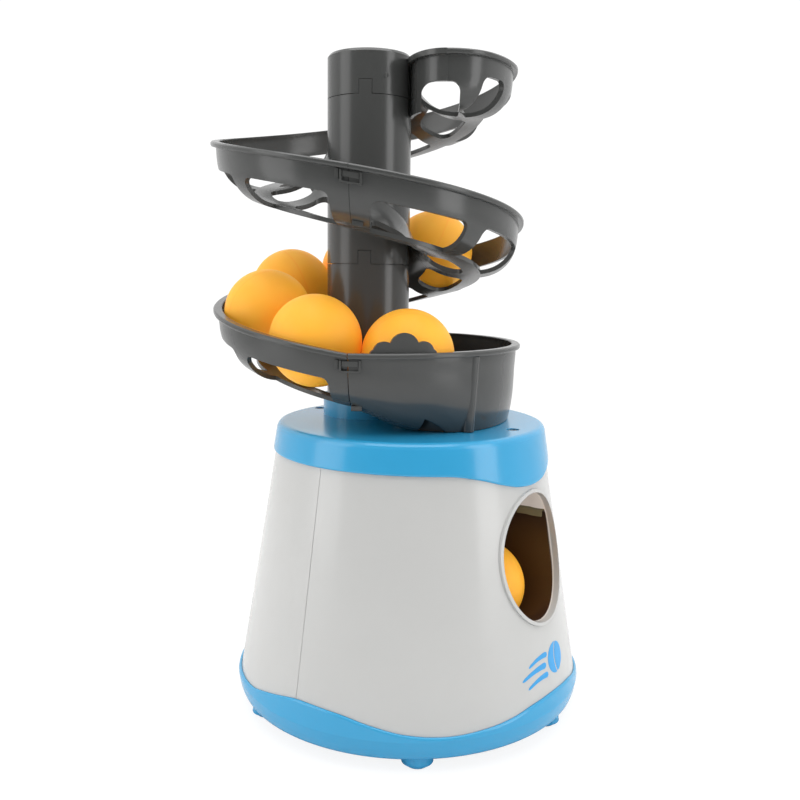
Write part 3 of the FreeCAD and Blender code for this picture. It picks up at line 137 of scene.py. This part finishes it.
def ramp(tree, factor, *stops):
    """Colour ramp; each stop is (position, RGB)."""
    made = node(tree, "ValToRGB", {0: factor})
    elements = made.color_ramp.elements
    while len(elements) > 1:
        elements.remove(elements[-1])
    elements[0].position = stops[0][0]
    elements[0].color = tuple(stops[0][1]) + (1,)
    for position, colour in stops[1:]:
        elements.new(position).color = tuple(colour) + (1,)
    return made.outputs[0]


def remap(tree, value, to_range, from_range=(0.0, 1.0)):
    return node(tree, "MapRange", {
        "Value": value, "From Min": from_range[0], "From Max": from_range[1],
        "To Min": to_range[0], "To Max": to_range[1]}).outputs[0]


def calc(tree, operation, *values):
    return node(tree, "Math", dict(enumerate(values)), operation=operation).outputs[0]


def mix_colour(tree, factor, first, second, blend="MIX"):
    # sockets 6 and 7 are the colour inputs of the mix node, output 2 its colour
    inputs = {0: factor, 6: first, 7: second}
    return node(tree, "Mix", inputs, data_type="RGBA", blend_type=blend).outputs[2]


def bump(tree, bsdf, height, distance, strength=1.0, soften=0.0):
    """Bump from a height, over edges rounded by the soften radius."""
    inputs = {"Height": height, "Distance": distance, "Strength": strength}
    if soften:
        inputs["Normal"] = node(tree, "Bevel", {"Radius": soften}, samples=3).outputs[0]
    wire(tree, bsdf, {"Normal": node(tree, "Bump", inputs).outputs[0]})


def srgb(*levels):
    """Linear colour from 0-255 levels."""
    return tuple((level / 255.0) / 12.92 if level <= 10
                 else ((level / 255.0 + 0.055) / 1.055) ** 2.4 for level in levels)


def scaled(colour, factor):
    return tuple(min(1.0, channel * factor) for channel in colour)


# ------------------------------------------------------------------ materials
def moulded(name, base, rough, rough_swing, colour_swing, grain, depth, soften,
            coat=0.0, sub=0.0, streak=0.0, spec=0.5):
    """Moulded plastic: faint flow clouding, fine skin texture, uneven gloss, soft edges."""
    material, tree, bsdf, _ = new_material(name)
    vector = coords(tree)
    clouds = noise(tree, vector, scale=38.0, detail=4.0, rough=0.6)
    colour = ramp(tree, clouds, (0.3, scaled(base, 1 - colour_swing)), (0.55, base),
                  (0.75, scaled(base, 1 + colour_swing)))
    if streak:
        # darker flow lines, drawn out along z
        lines = noise(tree, coords(tree, (1.0, 1.0, 0.12)), scale=260.0, detail=2.0, rough=0.5)
        shade = ramp(tree, lines, (0.35, (0.86, 0.86, 0.86)), (0.65, (1, 1, 1)))
        colour = mix_colour(tree, streak, colour, shade, "MULTIPLY")
    gloss = noise(tree, vector, scale=120.0, detail=5.0, rough=0.6)
    wire(tree, bsdf, {
        "Base Color": colour,
        "Roughness": remap(tree, gloss, (rough - rough_swing, rough + rough_swing)),
        "IOR": 1.49, "Specular IOR Level": spec, "Coat Weight": coat, "Coat Roughness": 0.08})
    if sub:
        wire(tree, bsdf, {"Subsurface Weight": sub, "Subsurface Radius": (1.0, 0.6, 0.3),
                          "Subsurface Scale": 0.002})
    skin = noise(tree, vector, scale=grain, detail=2.0, rough=0.5)
    bump(tree, bsdf, skin, depth, soften=soften)
    return material


def metal(name, base, rough, brushed=(1, 1, 40), scale=220.0):
    """Metal with a brushed grain; brushed stretches the noise along each axis."""
    material, tree, bsdf, _ = new_material(name)
    grain = noise(tree, coords(tree, brushed), scale=scale, detail=4.0, rough=0.6)
    wire(tree, bsdf, {
        "Base Color": ramp(tree, grain, (0.3, scaled(base, 0.82)), (0.7, base)),
        "Roughness": remap(tree, grain, (rough - 0.08, rough + 0.12)),
        "Metallic": 1.0})
    bump(tree, bsdf, grain, distance=0.000008, strength=0.6, soften=0.00012)
    return material


# name, colour, roughness, its swing, colour swing, grain scale, grain depth (m),
# edge softening (m), extras
PLASTICS = [
    ("grey_abs", srgb(67, 68, 67), 0.21, 0.03, 0.02, 1500.0, 1.1e-6, 0.00035,
     {"streak": 0.10}),
    # barrel inside: grey plastic painted darker and browner, a painted shade with a painted
    # warm reflection
    ("grey_abs_inside", srgb(62, 44, 35), 0.30, 0.05, 0.05, 1300.0, 2e-6, 0.0003, {}),
    ("white_abs", (0.545, 0.545, 0.533), 0.22, 0.03, 0.012, 1200.0, 1e-6, 0.0004,
     {"coat": 0.15}),
    ("blue_abs", (0.030, 0.345, 0.63), 0.2, 0.04, 0.02, 1200.0, 1e-6, 0.0005, {"coat": 0.2}),
    ("blue_print", (0.022, 0.34, 0.74), 0.33, 0.06, 0.05, 2600.0, 6e-6, 0.0, {}),
    ("black_nylon", (0.018, 0.018, 0.019), 0.42, 0.08, 0.15, 1800.0, 10e-6, 0.0002, {}),
    ("natural_acetal", (0.62, 0.60, 0.54), 0.36, 0.06, 0.05, 1500.0, 6e-6, 0.00012,
     {"sub": 0.1}),
    ("soft_rubber", (0.03, 0.03, 0.03), 0.75, 0.1, 0.2, 2200.0, 30e-6, 0.0002, {"spec": 0.3}),
    ("wire_sleeve", (0.42, 0.02, 0.015), 0.4, 0.05, 0.1, 1800.0, 6e-6, 0.0001, {}),
    # pale tab colour: a painted highlight on the top edge of the barrel side
    ("felt_tab", srgb(150, 142, 110), 0.8, 0.1, 0.18, 3200.0, 60e-6, 0.0, {"spec": 0.2}),
]
MATERIALS = {row[0]: moulded(*row[:-1], **row[-1]) for row in PLASTICS}
MATERIALS["zinc_steel"] = metal("zinc_steel", (0.56, 0.56, 0.55), rough=0.28)
MATERIALS["spring_steel"] = metal("spring_steel", (0.48, 0.47, 0.45), rough=0.22,
                                  brushed=(60, 60, 60), scale=60.0)
MATERIALS["cut_brass"] = metal("cut_brass", (0.72, 0.47, 0.17), rough=0.25)
GREY = MATERIALS["grey_abs"]
BLUE = MATERIALS["blue_abs"]
BLUE_PRINT = MATERIALS["blue_print"]


def paint_inner_glow(material):
    """Painted glow: emission on the inner skin of the shells stands in for light that thin
    plastic passes.
    """
    tree = material.node_tree
    x, y, z = split(tree, object_vector(tree))
    radius = calc(tree, "SQRT", calc(tree, "ADD", calc(tree, "MULTIPLY", x, x),
                                     calc(tree, "MULTIPLY", y, y)))
    cone = calc(tree, "MULTIPLY_ADD", calc(tree, "SUBTRACT", SHELL_TOP * MM, z),
                SHELL_TAPER, SHELL_R * MM)
    depth = calc(tree, "SUBTRACT", cone, radius)
    # painted glow: emission strength rises across the inner skin of the shell wall
    glow = remap(tree, depth, to_range=(0.0, 0.34), from_range=(0.0014, 0.0021))
    wire(tree, tree.nodes["Principled BSDF"],
         {"Emission Color": (1.0, 0.86, 0.74, 1), "Emission Strength": glow})


paint_inner_glow(MATERIALS["white_abs"])


def ball_material():
    """Matte celluloid: warm body, soft skin, a faint welded seam round the middle, and a
    painted glow from emission.
    """
    material, tree, bsdf, _ = new_material("ball_celluloid")
    vector = object_vector(tree)
    clouds = noise(tree, vector, scale=55.0, detail=3.0, rough=0.5)
    body = ramp(tree, clouds, (0.3, (1.0, 0.44, 0.030)), (0.7, (1.0, 0.475, 0.042)))
    off_seam = calc(tree, "ABSOLUTE", split(tree, vector)[2])
    seam = remap(tree, off_seam, to_range=(0.22, 0.0), from_range=(0.0001, 0.00045))
    skin = noise(tree, vector, scale=2600.0, detail=2.0, rough=0.5)
    wire(tree, bsdf, {
        "Base Color": mix_colour(tree, seam, body, (0.85, 0.22, 0.012, 1)),
        "Subsurface Weight": 0.35,
        "Subsurface Radius": (1.0, 0.45, 0.1),
        "Subsurface Scale": 0.004,
        # painted glow: warm emission lifts the balls as if light passed through them
        "Emission Color": (1.0, 0.42, 0.03, 1),
        "Emission Strength": 0.13,
        "Specular IOR Level": 0.35,
        "Roughness": remap(tree, skin, (0.48, 0.62))})
    bump(tree, bsdf, skin, distance=0.00001, strength=0.8)
    return material


def cell_material():
    """Dry cells along y: dark sleeve, a bright band near one end, metal caps."""
    half_length = 0.0243
    cap, sleeve, band = (0.6, 0.6, 0.6), (0.015, 0.016, 0.02), (0.72, 0.42, 0.10)
    material, tree, bsdf, _ = new_material("cell_sleeve")
    y = split(tree, object_vector(tree))[1]
    along = remap(tree, y, (0.0, 1.0), from_range=(-half_length, half_length))
    colour = ramp(tree, along, (0.0, cap), (0.025, sleeve), (0.66, sleeve),
                  (0.67, band), (0.965, band), (0.975, cap))
    gloss = noise(tree, coords(tree), scale=300.0, detail=3.0, rough=0.5)
    wire(tree, bsdf, {"Base Color": colour, "Roughness": remap(tree, gloss, (0.18, 0.34)),
                      "Metallic": 0.35})
    bump(tree, bsdf, gloss, distance=0.00001, strength=0.5)
    return material


BALL = MATERIALS["ball_celluloid"] = ball_material()
MATERIALS["cell_sleeve"] = cell_material()

# CAD pieces by material; every other piece is grey
FINISH = {
    "blue_abs": "base_pan battery_door top_cap",
    "white_abs": "front_shell rear_shell",
    "grey_abs_inside": "launch_barrel",
    "natural_acetal": "striker crank_wheel gear_3 gear_2 gear_1 motor_end_cap",
    "soft_rubber": "striker_cushion",
    "spring_steel": "striker_spring cell_contacts",
    "cut_brass": "motor_pinion",
    "black_nylon": "gearbox_left gearbox_right switch_body switch_slider",
    "zinc_steel": "battery_door_screw base_screws cap_screws gear_axles gearbox_screws "
                  "motor_can motor_shaft",
    "cell_sleeve": "cells",
    "wire_sleeve": "motor_leads",
    "ball_celluloid": "ball_in_barrel ball_next ball_queue",
}
finish_of = {piece_name: MATERIALS[finish]
             for finish, names in FINISH.items() for piece_name in names.split()}
for name, ob in nodes.items():
    finish = finish_of.get(name, GREY)
    if not ob.material_slots:
        ob.data.materials.append(finish)
    for material_slot in ob.material_slots:
        material_slot.material = finish


# ------------------------------------------------------------------ mesh helpers
def piece(name, bm, material, body, smooth, place=None):
    """Make the object and tell the frame; edges sharper than smooth degrees stay sharp."""
    bmesh.ops.recalc_face_normals(bm, faces=bm.faces[:])
    mesh = bpy.data.meshes.new(name)
    bm.to_mesh(mesh)
    bm.free()
    ob = bpy.data.objects.new(name, mesh)
    scene.collection.objects.link(ob)
    mesh.materials.append(material)
    if place is not None:
        ob.matrix_world = place
    for polygon in mesh.polygons:
        polygon.use_smooth = True
    if smooth < 180:
        mesh.set_sharp_from_angle(angle=smooth * DEG)
    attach(ob, body)
    return ob


def ring(bm, radius, z, count):
    return [bm.verts.new((radius * math.cos(2 * math.pi * k / count),
                          radius * math.sin(2 * math.pi * k / count), z))
            for k in range(count)]


def bridge(bm, first, second):
    """Quads between two closed rows of vertices."""
    for i in range(len(first)):
        j = (i + 1) % len(first)
        bm.faces.new((first[i], first[j], second[j], second[i]))


def bevel_edges(bm, width):
    edges = [e for e in bm.edges
             if len(e.link_faces) == 2 and e.calc_face_angle(0) > 35 * DEG]
    bmesh.ops.bevel(bm, geom=edges, offset=width, segments=2, profile=0.6,
                    affect="EDGES", clamp_overlap=True)


def round_rect(left, right, bottom, top, radius, steps):
    points = []
    for x, y, start in ((right - radius, top - radius, 0), (left + radius, top - radius, 90),
                        (left + radius, bottom + radius, 180),
                        (right - radius, bottom + radius, 270)):
        for i in range(steps + 1):
            angle = (start + 90.0 * i / steps) * DEG
            points.append((x + radius * math.cos(angle), y + radius * math.sin(angle)))
    return points


def lathe(name, profile, centre, axis, material, body, count=40):
    """Turn a profile of (radius, height) in mm about an axis; both its ends are on the axis."""
    bm = bmesh.new()
    rows = []
    for radius, height in profile:
        if radius < 1e-6:
            rows.append([bm.verts.new((0, 0, height * MM))])
        else:
            rows.append(ring(bm, radius * MM, height * MM, count))
    for low, high in zip(rows, rows[1:]):
        if len(low) > 1 and len(high) > 1:
            bridge(bm, low, high)
            continue
        for k in range(count):
            j = (k + 1) % count
            if len(low) == 1:
                bm.faces.new((low[0], high[k], high[j]))
            else:
                bm.faces.new((low[k], low[j], high[0]))
    turned = Vector(axis).normalized().to_track_quat("Z", "Y").to_matrix().to_4x4()
    place = Matrix.Translation(centre) @ turned
    return piece(name, bm, material, body, 35, place)


# ------------------------------------------------------------------ trough seams
# lug is the height of the seam lug's middle from the rim
Seam = namedtuple("Seam", "tag turn slope rim above below lug")
SEAMS = [
    Seam("upper_seam", 355.5, TROUGH_SLOPE, track_rim(355.5),
         "upper_spiral", "lower_spiral", -21.9),
    Seam("lower_seam", 715.5, 0.0, 166.0, "lower_spiral", "base", -23.2),
]
# Snap latch parts: bars as (start, end, bottom, top) along the trough and from its rim,
# corner radius, corner steps, inner and outer radius, smoothing angle, side of the seam
LATCH = [
    ("frame", [(-3.4, -2.5, -7.5, -2.7), (4.5, 5.4, -7.5, -2.7), (-3.3, 5.3, -7.6, -6.8)],
     0.2, 2, 69.66, 71.2, 50, "below"),
    ("tongue", [(-2.3, 4.3, -5.2, -2.9)], 0.35, 4, 69.72, 70.8, 30, "below"),
    ("root", [(0.35, 5.0, -7.3, -2.2)], 0.5, 4, 68.9, 70.1, 30, "below"),
    ("stop", [(-5.4, -3.8, -6.4, -2.4)], 0.35, 4, 68.9, 70.6, 30, "above"),
]
LUG_R = 61.2
LUG_STATIONS = (0.4, 1.6, 3.2, 4.8)     # along the trough from the seam
# lug section: offset from LUG_R, height from its middle
LUG_SECTION = [(-1.1, 0.9), (1.1, 0.9), (1.1, -0.9), (0.7, -1.3), (-0.7, -1.3), (-1.1, -0.9)]


def seam_point(seam, along, up, radius, arc_radius=TROUGH_R):
    turn = seam.turn + along / (arc_radius * DEG)
    return on_column(turn, radius, seam.rim + seam.slope * along + up) * MM


def latch_bar(seam, outline, inner, outer):
    bm = bmesh.new()
    rows = [[bm.verts.new(seam_point(seam, along, up, radius)) for along, up in outline]
            for radius in (inner, outer)]
    bridge(bm, *rows)
    for row in rows:
        bmesh.ops.triangulate(bm, faces=[bm.faces.new(row)])
    return bm


def latch(seam):
    for part, bars, corner, steps, inner, outer, smooth, side in LATCH:
        bm = bmesh.new()
        for bar in bars:
            bar_bm = latch_bar(seam, round_rect(*bar, corner, steps), inner, outer)
            bar_mesh = bpy.data.meshes.new("tmp")
            bar_bm.to_mesh(bar_mesh)
            bar_bm.free()
            bm.from_mesh(bar_mesh)
            bpy.data.meshes.remove(bar_mesh)
        piece(f"{seam.tag}_latch_{part}", bm, GREY, getattr(seam, side), smooth)


def seam_lug(seam):
    """Small lug under the seam."""
    bm = bmesh.new()
    rows = [[bm.verts.new(seam_point(seam, along, seam.lug + up, LUG_R + out, LUG_R))
             for out, up in LUG_SECTION] for along in LUG_STATIONS]
    for first, second in zip(rows, rows[1:]):
        bridge(bm, first, second)
    bm.faces.new(rows[0])
    bm.faces.new(rows[-1][::-1])
    bevel_edges(bm, 0.18 * MM)
    piece(seam.tag + "_seam_lug", bm, GREY, seam.below, 35)


for seam in SEAMS:
    latch(seam)
for seam in SEAMS:
    seam_lug(seam)

# ------------------------------------------------------------------ balls
BALL_R = 20.0 * MM
BALL_COLUMNS, BALL_ROWS = 112, 72
WELD_HEIGHT = 0.03 * MM
WELD_WIDTH = 0.6                                    # degrees of latitude
WELD_LATITUDES = [-1.4, -0.9, -0.45, 0.45, 0.9, 1.4]    # extra rows that carry the weld

QUEUE_TURN, QUEUE_STEP = 693.5, 48.8    # lowest ball in the track, and turn between balls
QUEUE_R = 47.0
QUEUE_LIFT = 20.85                      # ball centre above the trough floor
QUEUE_TILTS = [(64, -30), (-75, 15), (52, 60), (80, -65), (-60, -35)]


def ball_mesh():
    """Sphere with a slightly raised weld round its equator."""
    bm = bmesh.new()
    even = [round(90.0 - 180.0 * i / BALL_ROWS, 4) for i in range(1, BALL_ROWS)]
    top = bm.verts.new((0, 0, BALL_R))
    bottom = bm.verts.new((0, 0, -BALL_R))
    rows = []
    for latitude in sorted(set(even + WELD_LATITUDES), reverse=True):
        radius = BALL_R + WELD_HEIGHT * math.exp(-(latitude / WELD_WIDTH) ** 2)
        rows.append(ring(bm, radius * math.cos(latitude * DEG),
                         radius * math.sin(latitude * DEG), BALL_COLUMNS))
    for k in range(BALL_COLUMNS):
        j = (k + 1) % BALL_COLUMNS
        bm.faces.new((top, rows[0][k], rows[0][j]))
        bm.faces.new((bottom, rows[-1][j], rows[-1][k]))
        for upper, lower in zip(rows, rows[1:]):
            bm.faces.new((upper[k], lower[k], lower[j], upper[j]))
    return bm


def make_ball(name, centre, tilt, body, stands_for=None):
    """Ball turned by tilt, in degrees about x and y."""
    turned = Matrix.Rotation(tilt[0] * DEG, 4, "X") @ Matrix.Rotation(tilt[1] * DEG, 4, "Y")
    place = Matrix.Translation(centre) @ turned
    ob = piece(name, ball_mesh(), BALL, body, 180, place)
    if stands_for:
        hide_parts(stands_for)


def middle(node_name):
    low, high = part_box(node_name)
    return (low + high) / 2


make_ball("barrel_ball", middle("ball_in_barrel"), (70, 25), "launched_ball", "ball_in_barrel")
make_ball("tray_ball", middle("ball_next"), (-58, 40), "next_ball", "ball_next")
for i, tilt in enumerate(QUEUE_TILTS):
    turn = QUEUE_TURN - QUEUE_STEP * i
    centre = on_column(turn, QUEUE_R, track_rim(turn) - TROUGH_DEPTH + QUEUE_LIFT) * MM
    make_ball(f"track_ball_{i + 1}", centre, tilt, "lower_spiral",
              "ball_queue" if i == 0 else None)

# ------------------------------------------------------------------ motif on the front shell
MOTIF_TURN, MOTIF_Z = 51.0, 31.0        # middle of the motif
PRINT_OUT, PRINT_IN = 0.10, -0.06       # faces of the print from the shell surface
# speed lines: start and end round the shell, start and end z, start and end half height
SPEED_LINES = [
    (-14.0, 0.4, 26.8, 29.2, 0.55, 1.25),
    (-17.0, -0.6, 30.8, 33.4, 0.6, 1.35),
    (-12.6, 0.8, 35.4, 37.6, 0.55, 1.2),
]
LINE_STEPS = 16
LINE_ARCH = 0.9                         # rise of a line's middle
DISC_ACROSS, DISC_Z, DISC_R = 8.0, 34.0, 6.6
DISC_ROWS, DISC_COLUMNS = 36, 8
GAP_HALF = 0.45                         # the curved gap that parts the disc


def on_shell(across, z, lift):
    """Point at a distance round the shell from the middle of the motif."""
    angle = (AZIMUTH_0 + MOTIF_TURN) * DEG + across / shell_radius(MOTIF_Z)
    radius = shell_radius(z) + lift
    return Vector((radius * math.cos(angle), radius * math.sin(angle), z)) * MM


def print_patch(bm, grid):
    """Thin closed skin over rows of (across, z)."""
    top = [[bm.verts.new(on_shell(*point, PRINT_OUT)) for point in row] for row in grid]
    low = [[bm.verts.new(on_shell(*point, PRINT_IN)) for point in row] for row in grid]
    rows, columns = len(grid), len(grid[0])
    for i in range(rows - 1):
        for j in range(columns - 1):
            bm.faces.new((top[i][j], top[i][j + 1], top[i + 1][j + 1], top[i + 1][j]))
            bm.faces.new((low[i][j], low[i + 1][j], low[i + 1][j + 1], low[i][j + 1]))
    for j in range(columns - 1):
        bm.faces.new((top[0][j], low[0][j], low[0][j + 1], top[0][j + 1]))
        bm.faces.new((top[-1][j + 1], low[-1][j + 1], low[-1][j], top[-1][j]))
    for i in range(rows - 1):
        bm.faces.new((top[i + 1][0], low[i + 1][0], low[i][0], top[i][0]))
        bm.faces.new((top[i][-1], low[i][-1], low[i + 1][-1], top[i + 1][-1]))


def speed_line(bm, start, end, z_start, z_end, half_start, half_end):
    """Arched line that widens along its length, with rounded ends."""
    grid = []
    for i in range(LINE_STEPS + 1):
        part = i / LINE_STEPS
        across = start + (end - start) * part
        z = z_start + (z_end - z_start) * part + LINE_ARCH * math.sin(math.pi * part)
        half = half_start + (half_end - half_start) * part
        if part < 0.12:
            half *= 0.35 + 0.65 * math.sqrt(1 - (1 - part / 0.12) ** 2)
        if part > 0.9:
            half *= 0.45 + 0.55 * math.sqrt(max(0.0, 1 - ((part - 0.9) / 0.1) ** 2))
        grid.append([(across, z - half), (across, z), (across, z + half)])
    print_patch(bm, grid)


def disc_part(bm, side):
    """One side of the printed ball, parted from the other by a curved gap."""
    grid = []
    for i in range(DISC_ROWS + 1):
        part = -1 + 2.0 * i / DISC_ROWS
        z = DISC_R * math.sin(part * 90 * DEG) * 0.995
        half = math.sqrt(max(0.0, DISC_R ** 2 - z ** 2))
        gap = -1.0 + 0.045 * z * z
        if side < 0:
            start, end = -half, min(half, gap - GAP_HALF)
        else:
            start, end = max(-half, gap + GAP_HALF), half
        if end - start < 0.05:
            continue
        grid.append([(DISC_ACROSS + start + (end - start) * k / DISC_COLUMNS, DISC_Z + z)
                     for k in range(DISC_COLUMNS + 1)])
    print_patch(bm, grid)


bm = bmesh.new()
for line in SPEED_LINES:
    speed_line(bm, *line)
piece("motif_speed_lines", bm, BLUE_PRINT, "base", 40)

bm = bmesh.new()
for side in (-1, 1):
    disc_part(bm, side)
piece("motif_ball", bm, BLUE_PRINT, "base", 40)

# ------------------------------------------------------------------ small details
# gate mark on the side of the top ring
GATE_TURN, GATE_R, GATE_Z = 24.0, 19.2, 283.6
GATE_PROFILE = [(0, 0.28), (0.55, 0.26), (0.85, 0.1), (1.2, 0.05), (1.3, -0.4), (0, -0.4)]
lathe("ring_gate_mark", GATE_PROFILE, on_column(GATE_TURN, GATE_R, GATE_Z) * MM,
      outward(GATE_TURN), GREY, "ring")

# strip along the top edge of the barrel side, seen through the opening; its pale colour is a
# painted highlight on that edge
STRIP_LOW, STRIP_HIGH = Vector((20.8, -58.3, 89.9)), Vector((23.7, -45.5, 93.0))
STRIP_WAVE = 0.125                       # height of the waves along y


def edge_highlight_strip():
    bm = bmesh.new()
    bmesh.ops.create_cube(bm, size=1.0)
    bmesh.ops.subdivide_edges(bm, edges=bm.edges[:], cuts=4, use_grid_fill=True)
    for vert in bm.verts:
        vert.co = Vector([(low + high) / 2 + unit * (high - low)
                          for low, high, unit in zip(STRIP_LOW, STRIP_HIGH, vert.co)]) * MM
        vert.co.z += STRIP_WAVE * MM * math.sin(vert.co.y / MM * 1.7)
    bevel_edges(bm, 0.25 * MM)
    piece("barrel_edge_highlight_strip", bm, MATERIALS["felt_tab"], "base", 40)


edge_highlight_strip()

# bead left by the mould parting line round each foot
FOOT_TURNS = [-65.5, 3.0, 60.9, 134.0, 212.0]
FOOT_R, BEAD_Z = 69.8, 1.7              # foot centres from the base axis, bead height
BEAD_PROFILE = [(0, -0.35), (6.15, -0.35), (6.55, -0.12), (6.62, 0.1), (6.5, 0.35),
                (6.1, 0.5), (0, 0.5)]
for i, turn in enumerate(FOOT_TURNS):
    centre = on_column(turn, FOOT_R, BEAD_Z, centre_y=0.0) * MM
    lathe(f"foot_bead_{i + 1}", BEAD_PROFILE, centre, (0, 0, 1), BLUE, "base", 56)

# ------------------------------------------------------------------ camera
VIEW_X, VIEW_Y = 0.7986, 0.6018         # level heading of the view
TO_CAMERA = Vector((-VIEW_X, -VIEW_Y, 0))
CAMERA_RIGHT = Vector((VIEW_Y, -VIEW_X, 0))
EYE = Vector((-0.3326, -0.2442, 0.1996))
PITCH, ROLL = 0.144028, 0.012128        # radians, looking down


def make_camera():
    forward = Vector((VIEW_X * math.cos(PITCH), VIEW_Y * math.cos(PITCH),
                      -math.sin(PITCH))).normalized()
    level = CAMERA_RIGHT.normalized()
    upright = level.cross(forward).normalized()
    right = level * math.cos(ROLL) + upright * math.sin(ROLL)
    up = upright * math.cos(ROLL) - level * math.sin(ROLL)
    data = bpy.data.cameras.new("camera")
    data.lens, data.sensor_width = 40.53, 36.0
    data.clip_start, data.clip_end = 0.01, 50.0
    camera = bpy.data.objects.new("camera", data)
    scene.collection.objects.link(camera)
    turned = Matrix((right, up, -forward)).transposed().to_4x4()
    camera.matrix_world = Matrix.Translation(EYE) @ turned
    scene.camera = camera


make_camera()


# ------------------------------------------------------------------ floor
def floor_material():
    """Pale floor that mostly glows for the camera and is plain to all other rays."""
    material, tree, bsdf, output = new_material("pale_floor")
    wire(tree, bsdf, {"Base Color": (0.86, 0.86, 0.86, 1), "Roughness": 0.6,
                      "Specular IOR Level": 0.1})
    patches = noise(tree, coords(tree), scale=6.0, detail=2.0, rough=0.5)
    pale = ramp(tree, patches, (0.3, (0.85, 0.85, 0.85)), (0.7, (0.87, 0.87, 0.87)))
    wire(tree, bsdf, {"Base Color": pale})
    glow = node(tree, "Emission", {"Color": (1, 1, 1, 1), "Strength": 1.10})
    seen = node(tree, "MixShader", {0: 0.80, 1: bsdf.outputs[0], 2: glow.outputs[0]})
    is_camera = node(tree, "LightPath").outputs["Is Camera Ray"]
    surface = node(tree, "MixShader", {0: is_camera, 1: bsdf.outputs[0], 2: seen.outputs[0]})
    wire(tree, output, {0: surface.outputs[0]})
    return material


def make_floor():
    bm = bmesh.new()
    bmesh.ops.create_circle(bm, cap_ends=True, segments=96, radius=3.0)
    for vert in bm.verts:
        vert.co.z = -0.0001
    mesh = bpy.data.meshes.new("floor")
    bm.to_mesh(mesh)
    bm.free()
    floor = bpy.data.objects.new("floor", mesh)
    scene.collection.objects.link(floor)
    mesh.materials.append(floor_material())


make_floor()


# ------------------------------------------------------------------ world and lights
def make_world():
    """Studio light, darkest from the camera's side and brighter overhead; camera sees white."""
    world = bpy.data.worlds.new("studio")
    scene.world = world
    world.use_nodes = True
    tree = world.node_tree
    tree.nodes.clear()
    output = node(tree, "OutputWorld")
    background = node(tree, "Background")
    direction = node(tree, "TexCoord").outputs["Generated"]
    facing = node(tree, "VectorMath", {0: direction, 1: (-0.80, -0.60, 0.05)},
                  operation="DOT_PRODUCT").outputs["Value"]
    # from behind the product (0) to behind the camera (1)
    levels = [(0.0, 1.0), (0.45, 0.95), (0.70, 0.62), (0.90, 0.34), (1.0, 0.26)]
    shade = ramp(tree, remap(tree, facing, (0.0, 1.0), from_range=(-1.0, 1.0)),
                 *[(position, (level,) * 3) for position, level in levels])
    height = split(tree, direction)[2]
    overhead = remap(tree, height, to_range=(0.96, 1.3), from_range=(0.1, 0.9))
    lifted = node(tree, "VectorMath", {0: shade, "Scale": overhead}, operation="SCALE")
    is_camera = node(tree, "LightPath").outputs["Is Camera Ray"]
    colour = mix_colour(tree, is_camera, lifted.outputs[0], (1.05, 1.05, 1.05, 1))
    wire(tree, background, {"Color": colour, "Strength": 1.0})
    wire(tree, output, {0: background.outputs[0]})


make_world()

LIT_POINT = Vector((0, 0.01, 0.15))
# name, distance from LIT_POINT to the camera's side, its right and up, width, height, watts
SOFTBOXES = [
    ("left_softbox", 0.35, -0.85, 0.30, 0.5, 0.9, 2.5),
    ("right_softbox", 0.45, 0.80, 0.25, 0.35, 0.8, 2.4),
    ("top_softbox", 0.15, 0.0, 0.85, 0.8, 0.8, 4.2),
]
for name, near, right, up, width, height, power in SOFTBOXES:
    data = bpy.data.lights.new(name, "AREA")
    data.shape, data.size, data.size_y, data.energy = "RECTANGLE", width, height, power
    light = bpy.data.objects.new(name, data)
    scene.collection.objects.link(light)
    place = LIT_POINT + TO_CAMERA * near + CAMERA_RIGHT * right + Vector((0, 0, up))
    light.location = place
    light.rotation_mode = "QUATERNION"
    light.rotation_quaternion = (LIT_POINT - place).to_track_quat("-Z", "Y")
    light.visible_camera = False
scene.view_settings.view_transform = "Standard"
